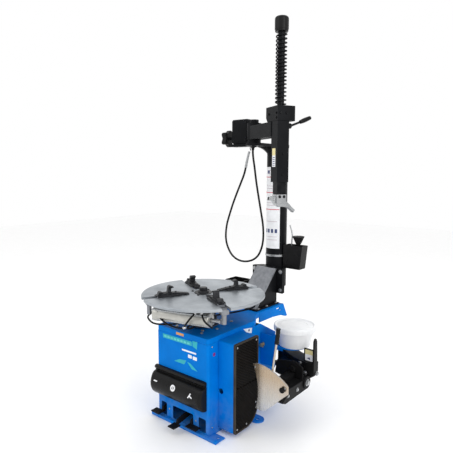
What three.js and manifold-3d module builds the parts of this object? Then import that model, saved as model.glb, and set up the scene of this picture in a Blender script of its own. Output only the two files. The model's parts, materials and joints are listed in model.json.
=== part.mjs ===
// Swing-arm tyre changer, millimetres, +Z up.
// Origin: on the floor under the turntable axis. +X is the operator's right, -Y the pedal side.
import * as THREE from 'three';
import { mergeVertices } from 'three/addons/utils/BufferGeometryUtils.js';
import Module from 'manifold-3d';

// ---------------------------------------------------------------- driving dimensions
const GAP = 0.35; // clearance between pieces that touch
const SHEET = 3; // cabinet sheet thickness

// Right and left walls aren't at the same distance from the turntable axis.
const CABINET = { half: 161, left: 176, front: -146, back: 372, topBack: 258, floor: 6, top: 440 };
const REAR_EDGE = { y: 396, z: 362 }; // where the sloping rear cover meets the rear panel
const DECK_TOP = 467;
const BEAM = { half: 98, front: 335, back: 570, bottom: 412 };
const FOOT = { reach: 222, height: 6, earX: 238, earY: 130, earR: 34 }; // ears: rear anchor lugs

const TABLE = { radius: 300, thickness: 12, top: 628, turn: 17 }; // turn: rest angle in degrees
const JAW_SLOT = { half: 20, inner: 80 };
const CYLINDER = { offset: 190, z: 560, radius: 32, half: 155 }; // under the table

const COLUMN = { y: 634, radius: 60, wall: 5, bottom: 550, top: 1351 };
const PIVOT_Y = 405; // swing arm hinge, on the machine's centre plane
const ARM = { turn: -27, reach: 278, bottom: 1384, top: 1455, half: 35 };
const POST = { outer: 31.5, inner: 26, shaft: 24, bottom: 1164, headTop: 1527 };
const SHAFT = { bottom: 1106, top: 1866.6, round: 18, shoulder: 1520 };
const CAP = { radius: 33, top: 1937 };

const PAD = { inner: 161.3, face: 263, front: -77, back: 100, bottom: 20, top: 446, thick: 12 };
const BEAD = { hingeX: 215, hingeY: 395, low: 210, high: 302 }; // bead breaker arm hinge
const BLADE = { y: 20, thick: 6, pinX: 452, pinZ: 262 };
const RAM = { y: 280, z: 244, radius: 86, rod: 12 }; // bead breaker cylinder
const BUCKET = { x: 315, y: 337, base: 346.4, bottomR: 80, topR: 97, rim: 436 };
const HOSE = { radius: 5.5, plane: 430 };

// ---------------------------------------------------------------- materials
const paint = (color, roughness = 0.4, metalness = 0.1) => () =>
  new THREE.MeshStandardMaterial({ color, roughness, metalness });
const blue = paint(0x0a74cc);
const black = paint(0x17181a, 0.45);
const plastic = paint(0x101112, 0.5, 0);
const rubber = paint(0x1a1816, 0.9, 0);
const steel = paint(0xb4b8bd, 0.35, 0.9);
const zinc = paint(0xa3a8b0, 0.5, 0.6);
const aluminium = paint(0xc9c9c4, 0.4, 0.8);
const castIron = paint(0x4d5052, 0.7, 0.5);
const darkSteel = paint(0x35373a, 0.55, 0.6);
const white = paint(0xf0f0ee, 0.5, 0);

// ---------------------------------------------------------------- geometry helpers
const wasm = await Module();
wasm.setup();

function toSolid(geometry) {
  const bare = geometry.index ? geometry.toNonIndexed() : geometry.clone();
  bare.deleteAttribute('normal');
  bare.deleteAttribute('uv');
  const merged = mergeVertices(bare, 1e-4);
  return new wasm.Manifold(new wasm.Mesh({
    numProp: 3,
    vertProperties: new Float32Array(merged.attributes.position.array),
    triVerts: new Uint32Array(merged.index.array),
  }));
}

function toGeometry(solid) {
  const mesh = solid.getMesh();
  const geometry = new THREE.BufferGeometry();
  geometry.setAttribute('position', new THREE.BufferAttribute(mesh.vertProperties, 3));
  geometry.setIndex(new THREE.BufferAttribute(mesh.triVerts, 1));
  geometry.computeVertexNormals();
  return geometry;
}

const join = (...parts) => toGeometry(parts.map(toSolid).reduce((sum, part) => sum.add(part)));
const cut = (body, ...tools) =>
  toGeometry(tools.map(toSolid).reduce((rest, tool) => rest.subtract(tool), toSolid(body)));

// A block between two corners.
function block([x0, y0, z0], [x1, y1, z1]) {
  const geometry = new THREE.BoxGeometry(x1 - x0, y1 - y0, z1 - z0);
  return geometry.translate((x0 + x1) / 2, (y0 + y1) / 2, (z0 + z1) / 2);
}

// A round bar along one axis, from a to b on that axis, centred on the other two coordinates.
function bar(axis, radius, a, b, [p, q], sides = 14) {
  const geometry = new THREE.CylinderGeometry(radius, radius, b - a, sides);
  const middle = (a + b) / 2;
  if (axis === 'z') return geometry.rotateX(Math.PI / 2).translate(p, q, middle);
  if (axis === 'x') return geometry.rotateZ(Math.PI / 2).translate(middle, p, q);
  return geometry.translate(p, middle, q);
}

// A turned piece about a vertical axis; the profile is a closed list of [radius, z].
function turned(profile, sides = 20, x = 0, y = 0) {
  const closed = profile[0][0] === 0 ? profile : [...profile, profile[0]];
  const points = closed.map(([r, z]) => new THREE.Vector2(r, z));
  return new THREE.LatheGeometry(points, sides).rotateX(Math.PI / 2).translate(x, y, 0);
}

function outline(points) {
  return points instanceof THREE.Shape ? points
    : new THREE.Shape(points.map(([p, q]) => new THREE.Vector2(p, q)));
}

const slab = (points, depth, curveSegments = 8) =>
  new THREE.ExtrudeGeometry(outline(points), { depth, bevelEnabled: false, curveSegments });
// Plates whose outline lies in the XY, XZ or YZ plane.
const plateXY = (points, z0, z1, segments) => slab(points, z1 - z0, segments).translate(0, 0, z0);
const plateXZ = (points, y0, y1, segments) =>
  slab(points, y1 - y0, segments).rotateX(Math.PI / 2).translate(0, y1, 0);
const plateYZ = (points, x0, x1, segments) =>
  slab(points, x1 - x0, segments).rotateX(Math.PI / 2).rotateZ(Math.PI / 2).translate(x0, 0, 0);

function tube(points, radius, sides, steps) {
  const path = new THREE.CatmullRomCurve3(points.map((p) => new THREE.Vector3(...p)), false, 'centripetal');
  const section = new THREE.Shape();
  for (let i = 0; i < sides; i += 1) {
    const a = (2 * Math.PI * i) / sides;
    const method = i === 0 ? 'moveTo' : 'lineTo';
    section[method](radius * Math.cos(a), radius * Math.sin(a));
  }
  return new THREE.ExtrudeGeometry(section, { steps, extrudePath: path, bevelEnabled: false });
}

const degrees = THREE.MathUtils.degToRad;
const machine = new THREE.Group();

function add(name, geometry, material, parent = machine) {
  const mesh = new THREE.Mesh(geometry, material());
  mesh.name = name;
  parent.add(mesh);
  return mesh;
}

function turnedGroup(angle, x = 0, y = 0) {
  const group = new THREE.Group();
  group.position.set(x, y, 0);
  group.rotation.z = degrees(angle);
  machine.add(group);
  return group;
}

// ---------------------------------------------------------------- base and cabinet
function baseFrame() {
  const { half, left: wall, front, back, floor } = CABINET;
  const rail = block([-203, front - 19, 0], [FOOT.reach, front - 4, 14]);
  const feet = [];
  for (const [x0, x1, y0, y1] of [[half - 5, FOOT.reach, -165, -99], [-203, 5 - half, -165, -99]]) {
    feet.push(block([x0, y0, 0], [x1, y1, FOOT.height]));
  }
  const holes = [bar('z', 7, -1, 20, [200, -120], 10), bar('z', 7, -1, 20, [-184, -120], 10)];
  for (const side of [-1, 1]) {
    const { earX, earY, earR, height } = FOOT;
    const [left, right] = side > 0 ? [half - 5, earX] : [-earX, 5 - half];
    feet.push(block([left, earY - earR, 0], [right, earY + earR, height]));
    feet.push(bar('z', earR, 0, height, [side * earX, earY], 14));
    holes.push(bar('z', 8, -1, 20, [side * earX, earY], 10));
  }
  const plate = block([-wall, front - 5, 0], [half, back + 2, floor]);
  const cradle = block([-70, RAM.y - 75, floor - 1], [60, RAM.y + 75, RAM.z - 35]);
  const seat = bar('x', RAM.radius + GAP, -100, 100, [RAM.y, RAM.z], 20);
  return cut(join(plate, rail, cradle, ...feet), ...holes, seat);
}

function frontPanel() {
  const { half, left, front, floor, top } = CABINET;
  const panel = block([-left, front, floor + GAP], [half, front + SHEET, top]);
  const slots = [[-150, -112], [-70, 66], [100, 146]].map(([x0, x1]) =>
    block([x0, front - 5, 16], [x1, front + 10, 82]));
  return cut(panel, ...slots);
}

function sidePanel(side) {
  const { half, left, front, back, topBack, floor, top } = CABINET;
  const start = front + SHEET + GAP;
  const profile = [[start, floor + GAP], [back, floor + GAP], [REAR_EDGE.y, REAR_EDGE.z], [topBack, top],
    [start, top]];
  const inner = side > 0 ? half - SHEET : -left;
  const panel = plateYZ(profile, inner, inner + SHEET);
  return side > 0 ? cut(panel, bar('x', 17, 150, 170, [RAM.y, RAM.z])) : panel;
}

function rearCover() {
  const inset = SHEET + GAP;
  const { back, topBack, top, floor } = CABINET;
  const profile = [[back - 4, floor + GAP], [back - 1, floor + GAP], [REAR_EDGE.y - 1, REAR_EDGE.z - 1],
    [topBack + 2, top - 2], [topBack + 2, top - 5.5], [REAR_EDGE.y - 5, REAR_EDGE.z - 2.5]];
  return plateYZ(profile, inset - CABINET.left, CABINET.half - inset);
}

function deckOutline(inset) {
  const { half, left, front } = CABINET;
  const w = half - inset;
  const l = left - inset;
  const f = front + inset;
  const r = 14 - inset;
  const neck = BEAM.half - inset;
  const shape = new THREE.Shape();
  shape.moveTo(-l + r, f);
  shape.lineTo(w - r, f);
  shape.absarc(w - r, f + r, r, -Math.PI / 2, 0);
  shape.lineTo(w, 190);
  shape.bezierCurveTo(w, 260, neck, 250, neck, BEAM.front - GAP - inset);
  shape.lineTo(-neck, BEAM.front - GAP - inset);
  shape.bezierCurveTo(-neck, 250, -l, 260, -l, 190);
  shape.lineTo(-l, f + r);
  shape.absarc(-l + r, f + r, r, Math.PI, 1.5 * Math.PI);
  return shape;
}

function deck() {
  const lip = CABINET.top + GAP;
  const plate = plateXY(deckOutline(0), lip, DECK_TOP, 4);
  const hollow = plateXY(deckOutline(5), lip - 5, DECK_TOP - 6, 4);
  return cut(plate, hollow, bar('z', 51, 430, 480, [0, 0]));
}

function beam() {
  const { half, front, back, bottom } = BEAM;
  const profile = [[front, bottom], [465, bottom], [545, 404], [596, 386], [612, 388], [back, DECK_TOP],
    [front, DECK_TOP]];
  const block0 = plateYZ(profile, -half, half);
  const hollow = block([6 - half, front - 5, 300], [half - 6, back + 60, DECK_TOP - 6]);
  const slot = block([half - 20, 500, 447], [half + 10, 528, 453]);
  return cut(block0, hollow, slot, bar('x', 5, half - 20, half + 10, [540, 434], 8));
}

function frameAndCabinet() {
  add('base_frame', baseFrame(), blue);
  add('front_panel', frontPanel(), blue);
  add('side_panel_left', sidePanel(-1), blue);
  add('side_panel_right', sidePanel(1), blue);
  add('rear_cover', rearCover(), zinc);
  add('deck', deck(), blue);
  add('rear_beam', beam(), blue);
}

// ---------------------------------------------------------------- bead breaker pad
function padOutline(inset) {
  const { front, back, bottom, top } = PAD;
  const shape = new THREE.Shape();
  const radius = 90;
  shape.moveTo(front + inset, bottom + inset);
  shape.lineTo(back - radius, bottom + inset);
  shape.absarc(back - radius, bottom + radius, radius - inset, -Math.PI / 2, 0);
  shape.lineTo(back - inset, top - inset);
  shape.lineTo(front + inset, top - inset);
  return shape;
}

function sidePadBox() {
  const outer = PAD.face - PAD.thick - GAP;
  const shell = plateYZ(padOutline(0), PAD.inner, outer, 4);
  const hollow = plateYZ(padOutline(4), PAD.inner - 5, outer - 4, 4);
  return cut(shell, hollow);
}

function padSide() {
  add('side_pad_box', sidePadBox(), blue);
  add('bead_pad', plateYZ(padOutline(0), PAD.face - PAD.thick, PAD.face, 5), rubber);
}

// ---------------------------------------------------------------- pedals
const PEDAL_PIVOT = { y: -30, z: 75, radius: 8 };
const TREAD = { top: 39 };

function pedal(armX, plate) {
  const { y, z, radius } = PEDAL_PIVOT;
  const hub = bar('x', 15, armX - 9, armX + 9, [y, z], 10);
  const side = [[y, z - 12], [y, z + 12], [plate.back, 58], [plate.back - 6, TREAD.top - 1],
    [plate.back + 5, TREAD.top - 6]];
  const lever = plateYZ(side, armX - 5, armX + 5);
  const tread = block([plate.left, plate.front, TREAD.top - 6], [plate.right, plate.back, TREAD.top]);
  return cut(join(hub, lever, tread), bar('x', radius + 0.8, armX - 20, armX + 20, [y, z], 12));
}

function pedals() {
  const { y, z, radius } = PEDAL_PIVOT;
  const inset = SHEET + GAP;
  add('pedal_turn', pedal(-133, { left: -180, right: -126, front: -190, back: -152 }), black);
  add('pedal_clamp', pedal(9, { left: -10, right: 31, front: -238, back: -194 }), black);
  add('pedal_bead', pedal(60, { left: 53, right: 118, front: -186, back: -152 }), black);
  add('pedal_shaft', bar('x', radius, inset - CABINET.left, CABINET.half - inset, [y, z], 10), steel);
  const valves = [-133, 9, 60].map((x) => bar('z', 7, 50, 56, [x, 20], 8));
  add('valve_block', join(block([-150, 8, 6.4], [120, 30, 52]), ...valves), aluminium);
  const guard = [[-146.4, 122], [-162, 118], [-186, 142], [-197, 175], [-195, 202], [-182, 230],
    [-165, 250], [-146.4, 266]];
  const hollow = [[-140, 130], [-160, 124], [-180, 145], [-191, 176], [-189, 200], [-177, 226],
    [-161, 244], [-140, 254]];
  const cover = cut(plateYZ(guard, -183, 152), plateYZ(hollow, -179, 148));
  add('pedal_guard', cover, plastic);
}

// ---------------------------------------------------------------- drive inside the cabinet
const BELT = { y: 161, width: 20 };
const WORM = { x: 88, z: 290, pulley: 52 };
const MOTOR = { x: -16, z: 132, radius: 60, pulley: 30 };

function beltLoop(offset) {
  const dx = WORM.x - MOTOR.x;
  const dz = WORM.z - MOTOR.z;
  const along = Math.atan2(dz, dx);
  const lean = Math.asin((WORM.pulley - MOTOR.pulley) / Math.hypot(dx, dz));
  const shape = new THREE.Shape();
  const upper = along + Math.PI / 2 + lean;
  const lower = along - Math.PI / 2 - lean;
  shape.absarc(WORM.x, WORM.z, WORM.pulley + offset, lower, upper);
  shape.absarc(MOTOR.x, MOTOR.z, MOTOR.pulley + offset, upper, lower + 2 * Math.PI);
  return shape;
}

function pulley(radius, x, z, shaft, from) {
  const { y, width } = BELT;
  return join(
    bar('y', radius, y - width / 2, y + width / 2, [x, z], 16),
    bar('y', radius + 7, y - width / 2 - 3, y - width / 2, [x, z], 16),
    bar('y', radius + 7, y + width / 2, y + width / 2 + 3, [x, z], 16),
    bar('y', shaft, from + GAP, y + 20, [x, z], 10),
  );
}

function drive() {
  const casing = join(
    block([-80, -88, 262], [70, 66, 400]),
    bar('y', 34, -66, 66, [WORM.x, WORM.z], 12),
    bar('z', 52, 400, 420, [0, 0], 16),
  );
  add('gearbox', cut(casing, bar('z', 26.4, 380, 425, [0, 0], 14)), castIron);
  add('gearbox_pulley', pulley(WORM.pulley, WORM.x, WORM.z, 11, 66), castIron);
  const frame = join(
    bar('y', MOTOR.radius, 40, 136, [MOTOR.x, MOTOR.z], 16),
    block([MOTOR.x - 45, 52, 6.4], [MOTOR.x + 45, 124, MOTOR.z]),
    block([MOTOR.x + 40, 60, 120], [MOTOR.x + 82, 116, 178]),
  );
  add('motor', frame, darkSteel);
  add('motor_pulley', pulley(MOTOR.pulley, MOTOR.x, MOTOR.z, 9, 136), castIron);
  const loop = beltLoop(5.5);
  loop.holes.push(new THREE.Path(beltLoop(GAP).getPoints(10)));
  add('drive_belt', plateXZ(loop, BELT.y - 9, BELT.y + 9, 10), rubber);
}

// ---------------------------------------------------------------- turntable
function turntableDisc() {
  const { radius, top, thickness } = TABLE;
  const disc = bar('z', radius, top - thickness, top, [0, 0], 56);
  const slots = [45, 135, 225, 315].map((angle) =>
    block([JAW_SLOT.inner, -JAW_SLOT.half, top - 40], [radius + 20, JAW_SLOT.half, top + 10])
      .rotateZ(degrees(angle)));
  const cap = turned([[0, top - 1], [26, top - 1], [26, top + 6], [20, top + 12], [20, top + 24],
    [0, top + 27]], 12);
  return join(cut(disc, ...slots), cap);
}

// A clamping jaw along +X, with its stepped claw on top and its guide under the table.
function jaw() {
  const t = TABLE.top;
  const rack = [[76, t + GAP], [238, t + GAP], [240, t + 9], [227, t + 12], [224, t + 24], [208, t + 24],
    [203, t + 15], [184, t + 17], [178, t + 44], [168, t + 50], [152, t + 44], [164, t + 36], [164, t + 20],
    [118, t + 14], [76, t + 7]];
  const guide = TABLE.top - TABLE.thickness;
  return join(
    plateXZ(rack, -15, 15),
    block([110, -24, t + GAP], [236, 24, t + 9]),
    block([130, -18, guide - 10], [236, 18, t + 5]),
    block([130, -27, guide - 12], [240, 27, guide - GAP]),
    block([196, -18, 596], [284, 18, guide - GAP]),
    bar('z', 11, CYLINDER.z - 10, 602, [CYLINDER.offset * Math.SQRT2, 0], 10),
  );
}

function clampCylinders(table) {
  const { offset, z, radius, half } = CYLINDER;
  [[-1, 1, 'a'], [1, -1, 'b']].forEach(([side, rodSide, name]) => {
    const axis = [side * offset, z];
    const span = (a, b) => (rodSide > 0 ? [a, b] : [-b, -a]);
    const [b0, b1] = span(-half, half - 30);
    const barrel = join(
      bar('x', radius, b0, b1, axis, 18),
      bar('x', radius + 3, ...span(-half - 2, 26 - half), axis, 18),
      bar('x', radius + 3, ...span(half - 50, half - 28), axis, 18),
      bar('x', 10, ...span(-half - 18, -half), axis, 8),
    );
    const bore = bar('x', 10, ...span(-40, half + 10), axis, 10);
    add(`clamp_barrel_${name}`, cut(barrel, bore), aluminium, table);
    const rod = join(bar('x', 8.5, ...span(30, offset - 16), axis, 10),
      bar('x', 12, ...span(offset - 20, offset - 14), axis, 8));
    add(`clamp_rod_${name}`, rod, steel, table);
  });
}

// Small air lines from the rotary union to the underside of each clamping cylinder, in pairs.
function airLines(table) {
  const end = CYLINDER.z - CYLINDER.radius - 10;
  [[-1, 'a'], [1, 'b']].forEach(([side, name]) => {
    const lines = [-1, 1].map((hand) => tube([[hand * 6, side * 76, 496], [hand * 44, side * 96, 488],
      [hand * 74, side * 128, 486], [hand * 98, side * 164, 498], [hand * 104, side * 184, end]], 3.5, 8, 8));
    const fitting = block([-12, side > 0 ? 66.5 : -80, 488], [12, side > 0 ? 80 : -66.5, 504]);
    add(`air_lines_${name}`, join(fitting, ...lines), rubber, table);
  });
}

function turntable() {
  const table = turnedGroup(TABLE.turn);
  add('turntable_disc', turntableDisc(), steel, table);
  const low = TABLE.top - TABLE.thickness - GAP;
  add('turntable_shaft', turned([[0, 395], [25, 395], [25, 440], [44, 464], [44, 472], [78, 474], [78, 482],
    [66, 484], [66, 510], [50, 516], [50, 598], [82, 606], [82, low], [0, low]], 20), castIron, table);
  [225, 315, 45, 135].forEach((angle, index) => {
    add(`jaw_${index + 1}`, jaw().rotateZ(degrees(angle)), darkSteel, table);
  });
  clampCylinders(table);
  airLines(table);
}

// ---------------------------------------------------------------- column and its foot
function columnFoot() {
  const floor = DECK_TOP + GAP;
  const base = block([-78, 336.5, floor], [78, 553, floor + 8]);
  const slope = plateYZ([[348, 474], [356, 474], [541, 664], [541, 671], [531, 671]], -66, 66);
  const cheek = [[356, 474], [550, 474], [550, 668], [541, 668]];
  const ribs = [-62, 56].map((x) => plateYZ(cheek, x, x + 6));
  const back = block([-104, 544, 529], [104, 553, 671]);
  const holes = [-90, 90].flatMap((x) => [545, 655].map((z) => bar('y', 6, 530, 570, [x, z], 8)));
  return cut(join(base, slope, ...ribs, back), ...holes);
}

// The column tube, welded to the flange that bolts to the back plate of its foot.
function columnTube() {
  const { y, radius, wall, bottom, top } = COLUMN;
  const flange = block([-104, 553.4, 529], [104, 606, 671]);
  const corners = [-1, 1].map((side) =>
    plateXY([[side * 105, 572], [side * 105, 610], [side * 66, 610]], 520, 680));
  const tubeOutside = bar('z', radius, bottom, top, [0, y], 28);
  const collar = bar('z', radius + 4, 728, 740, [0, y], 28);
  const bore = bar('z', radius - wall, 500, 1400, [0, y], 24);
  return cut(join(cut(flange, ...corners), tubeOutside, collar), bore);
}

function columnAndFoot() {
  add('column_foot', columnFoot(), zinc);
  add('column', columnTube(), black);
}

// ---------------------------------------------------------------- swing bracket and stop
function swingBracket() {
  const low = COLUMN.top + GAP;
  const high = low + 16;
  const plate = join(
    bar('z', 66, low, high, [0, COLUMN.y], 20),
    block([-46, PIVOT_Y, low], [46, COLUMN.y, high]),
    bar('z', 46, low, high, [0, PIVOT_Y], 16),
    block([-161, 410, low], [0, 456, high]),
    bar('z', 36, low, 1383.6, [0, PIVOT_Y], 14),
  );
  const web = new THREE.Shape();
  web.moveTo(450, low + 2);
  web.lineTo(573.5, low + 2);
  web.lineTo(573.5, 1262);
  web.bezierCurveTo(560, 1310, 520, 1338, 450, low - 4);
  const union = join(bar('z', 8, 1333, low + 2, [-26, HOSE.plane], 8),
    bar('z', 11, 1343, low + 2, [-26, HOSE.plane], 6));
  const hook = tube([[-52, 440, low + 2], [-52, 440, 1342], [-51, 441, 1336], [-47, 440, 1331]], 2.2, 8, 8);
  return cut(join(plate, plateYZ(web, -6, 6, 8), union, hook), bar('z', 14, 1340, 1390, [0, PIVOT_Y], 12));
}

function stopBox() {
  const [x0, x1, z0, z1] = [-160, -45, 1368, 1500];
  const r = 14;
  const shape = new THREE.Shape();
  shape.moveTo(x0 + r, z0);
  shape.lineTo(x1, z0);
  shape.lineTo(x1, z1);
  shape.lineTo(x0 + r, z1);
  shape.absarc(x0 + r, z1 - r, r, Math.PI / 2, Math.PI);
  shape.lineTo(x0, z0 + r);
  shape.absarc(x0 + r, z0 + r, r, Math.PI, 1.5 * Math.PI);
  return cut(plateXZ(shape, 412, 452, 4), bar('x', 9, x0 - 5, -90, [432, 1400], 10));
}

function starKnob() {
  const lobes = [0, 1, 2, 3, 4].map((i) => {
    const a = (2 * Math.PI * i) / 5;
    return bar('x', 15, -218, -190, [432 + 34 * Math.cos(a), 1400 + 34 * Math.sin(a)], 8);
  });
  return join(bar('x', 28, -220, -188, [432, 1400], 12), bar('x', 8, -189, -100, [432, 1400], 8), ...lobes);
}

function swingTop() {
  add('swing_bracket', swingBracket(), black);
  const pinHead = bar('z', 24, 1471.5, 1490, [0, PIVOT_Y], 12);
  add('hinge_pin', join(bar('z', 13.3, 1345, 1480, [0, PIVOT_Y], 12), pinHead), black);
  add('stop_box', stopBox(), black);
  add('stop_knob', starKnob(), plastic);
}

// ---------------------------------------------------------------- swing arm and tool post
// Built along +X from the hinge, then turned as one group.
function toolPost() {
  const arm = turnedGroup(ARM.turn, 0, PIVOT_Y);
  const { reach, bottom, top, half } = ARM;
  const { outer, inner, shaft } = POST;
  const sleeve = bar('z', 40, bottom, 1471, [0, 0], 20);
  const beamBox = block([0, -half, bottom], [reach - outer + 2, half, top]);
  const outerTube = block([reach - outer, -outer, POST.bottom], [reach + outer, outer, top]);
  const bore = block([reach - inner, -inner, 1000], [reach + inner, inner, 2000]);
  const pinBore = bar('z', 14, 1370, 1480, [0, 0], 24);
  add('swing_arm', cut(join(sleeve, beamBox, outerTube), bore, pinBore), black, arm);

  const start = reach - 88;
  const chamfer = plateXZ([[start - 4, 1480], [start + 18, 1450], [start - 4, 1450]], -80, 80);
  const head = block([start, -outer, top + GAP], [reach + outer, 63.5, POST.headTop]);
  add('head_block', cut(head, bore, chamfer), black, arm);

  const square = block([reach - shaft, -shaft, SHAFT.bottom], [reach + shaft, shaft, SHAFT.shoulder]);
  const capLow = SHAFT.top + GAP;
  const cap = turned([[0, capLow], [30, capLow], [31, capLow + 6], [CAP.radius, capLow + 10],
    [CAP.radius, CAP.top - 12], [CAP.radius - 4, CAP.top - 3], [CAP.radius - 12, CAP.top], [0, CAP.top]],
  16, reach, 0);
  const round = bar('z', SHAFT.round, 1500, SHAFT.top + 5, [reach, 0], 12);
  add('tool_shaft', join(square, round, cap), black, arm);
  const [low, high] = [POST.headTop + GAP, SHAFT.top - 0.2];
  const sleeveProfile = [[21, low], [28, low], [28, high], [21, high]];
  add('return_spring', turned(sleeveProfile, 24, reach, 0), darkSteel, arm);

  const lever = join(
    bar('y', 13, outer + GAP, 54, [reach + 8, 1434], 10),
    tube([[reach + 8, 50, 1434], [reach + 8, 100, 1453], [reach + 8, 150, 1473]], 6, 8, 2),
    tube([[reach + 8, 104, 1454.5], [reach + 8, 130, 1465], [reach + 8, 164, 1479]], 11, 10, 2),
  );
  add('lock_lever', lever, plastic, arm);
  mountHead(arm);
}

function mountHead(arm) {
  const { reach } = ARM;
  const clamp = block([reach - 27, -27, 1062], [reach + 27, 27, SHAFT.bottom - GAP]);
  const duck = [[-24, 1096], [24, 1074], [48, 1062], [82, 1022], [76, 1014], [44, 1036], [10, 1042],
    [-14, 1044], [-30, 1056], [-42, 1082], [-36, 1096]];
  const finger = plateYZ(duck, reach - 15, reach + 15);
  const fork = block([reach - 10, -62, 1076], [reach - 6, -30, 1094]);
  const forkFar = block([reach + 6, -62, 1076], [reach + 10, -30, 1094]);
  const roller = bar('x', 9, reach - 8, reach + 8, [-53, 1085], 12);
  add('mount_head', join(clamp, finger, fork, forkFar, roller), steel, arm);
}

// ---------------------------------------------------------------- bead breaker
function beadArm() {
  const { hingeX, hingeY, low, high } = BEAD;
  const rear = plateXY([[hingeX - 6, 368], [hingeX + 14, 425], [330, 372], [466, 312], [466, 272], [425, 262],
    [344, 284], [258, 332]], low, high);
  const boss = bar('z', 30, low, high, [hingeX, hingeY], 14);
  const rail = plateYZ([[34, 190], [50, 182], [240, 186], [268, 212], [268, 240], [60, 240], [34, 240]],
    404, 448);
  const knuckle = bar('x', 29, 398, 454, [232, 220], 14);
  const inner = plateYZ([[96, 226], [262, 226], [300, 244], [300, 266], [110, 266]], 366, 403.5);
  const brace = block([402, 200, 228], [406, 262, 239]);
  const lug = plateXZ([[404, 190], [446, 190], [474, 240], [472, 274], [462, 286], [442, 286], [404, 240]],
    30, 40);
  const under = plateXZ([[423, low - 5], [423, low], [480, 250], [480, low - 5]], 240, 380);
  const bore = bar('z', 12.8, low - 5, high + 5, [hingeX, hingeY], 20);
  const rim = plateYZ([[262, 262], [297, 262], [290, 410], [282, 425], [272, 425], [264, 412]], 462, 470);
  const guard = block([404, 281, high - 2], [464, 289, 364]);
  const pinAxis = [BLADE.pinX, BLADE.pinZ];
  const pin = join(bar('y', 8, 14, 44, pinAxis, 10), bar('y', 13, 10, 15, pinAxis, 10));
  return join(cut(join(cut(rear, under), boss, rail, knuckle, inner, brace, lug, rim, guard), bore), pin);
}

function hingeBracket() {
  const { hingeX, hingeY, low, high } = BEAD;
  const flange = block([161.4, 362, low - 16], [169, 384, high + 16]);
  const lug = [[162, 363], [190, 366], [hingeX + 10, 372], [hingeX + 22, hingeY], [hingeX, hingeY + 24],
    [hingeX - 24, hingeY + 4], [166, 384]];
  const plates = [[low - 16, low - 1], [high + 1, high + 16]].map(([z0, z1]) => plateXY(lug, z0, z1));
  const pin = bar('z', 12, low - 20, high + 24, [hingeX, hingeY], 12);
  return join(flange, ...plates, pin);
}

function beadBreaker() {
  add('bead_bracket', hingeBracket(), black);
  add('bead_arm', beadArm(), black);
  const { y, thick, pinX, pinZ } = BLADE;
  const fan = new THREE.Shape();
  fan.moveTo(288, 338);
  fan.lineTo(304, 345);
  fan.bezierCurveTo(370, 350, 450, 312, 478, 282);
  fan.lineTo(479, 246);
  fan.bezierCurveTo(430, 205, 400, 165, 356, 132);
  fan.lineTo(330, 124);
  fan.lineTo(302, 128);
  fan.bezierCurveTo(324, 180, 326, 250, 288, 338);
  add('bead_blade', cut(plateXZ(fan, y, y + thick, 8), bar('y', 8.8, 0, 60, [pinX, pinZ], 12)), steel);
  const rod = tube([[386, 34, 312], [392, 36, 368], [403, 40, 460]], 5, 8, 4);
  const lug = block([378, y + thick + GAP, 300], [394, 36, 322]);
  const grip = tube([[402.5, 40, 453], [406, 41, 480], [410, 42, 524]], 11, 12, 3);
  add('bead_handle', join(rod, lug, grip), steel);

  const axis = [RAM.y, RAM.z];
  const barrel = join(bar('x', RAM.radius, -146, 106, axis, 20), bar('x', 30, 106, 124, axis, 14));
  add('bead_cylinder', cut(barrel, bar('x', RAM.rod + 1, -20, 130, axis, 12)), aluminium);
  add('bead_rod', join(bar('x', RAM.rod, 0, 300, axis, 12), bar('x', 18, 294, 306, axis, 6)), steel);
}

// ---------------------------------------------------------------- paste bucket and trays
function bucketSet() {
  const { x, y, base, bottomR, topR, rim } = BUCKET;
  const plate = join(block([161.4, 274, 340], [250, 400, 346]), bar('z', 84, 340, 346, [300, 337], 20),
    block([161.4, 274, 318], [285, 278, 346]));
  add('bucket_shelf', cut(plate, bar('z', 8, 330, 350, [345, 337], 8)), blue);
  const wall = [[0, base], [bottomR, base], [topR, rim], [topR - 3, rim], [bottomR - 3, base + 4], [0, base + 4]];
  add('paste_bucket', turned(wall, 24, x, y), white);
  const low = rim + GAP;
  add('bucket_lid', turned([[0, low], [98.5, low], [98.5, 424], [105, 424], [105, 450], [97, 452], [92, 446],
    [0, 446]], 28, x, y), white);
}

function trays() {
  const toolBody = plateXZ([[66, 665], [175, 665], [190, 799], [66, 799]], 607, 672);
  const toolHollow = plateXZ([[69, 668], [172.3, 668], [188.5, 810], [69, 810]], 610, 669);
  const saddleHollow = bar('z', COLUMN.radius + GAP, 600, 900, [0, COLUMN.y], 28);
  const saddle = cut(block([50, 616, 690], [69, 652, 722]), saddleHollow);
  add('tool_tray', cut(join(toolBody, saddle), toolHollow), plastic);
  add('paste_brush', turned([[0, 669], [9, 669], [9, 800], [13, 812], [34, 851], [0, 851]], 14, 146, 640),
    plastic);

  const partsBody = block([-235, 450, 490.4], [-112, 548, 582]);
  const strap = block([-114, 470, 440], [-98.4, 530, 500]);
  add('parts_tray', cut(join(partsBody, strap), block([-231, 454, 494.4], [-116, 544, 600])), plastic);
}

// ---------------------------------------------------------------- air and mains inlets
function services() {
  const bowls = [165, 215].map((y) => bar('z', 22, 296, 372, [-205, y], 12));
  const knob = bar('z', 17, 400, 430, [-205, 165], 12);
  const inlet = [bar('y', 12, 240, 254, [-205, 386], 6), bar('y', 7, 252, 276, [-205, 386], 10)];
  add('air_unit', join(block([-229, 138, 370], [-176.4, 242, 402]), knob, ...inlet, ...bowls), darkSteel);
  const gland = join(bar('x', 15, -185, -176.4, [300, 90], 6), bar('x', 11, -201, -183, [300, 90], 10));
  add('cable_gland', gland, plastic);
}

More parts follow.
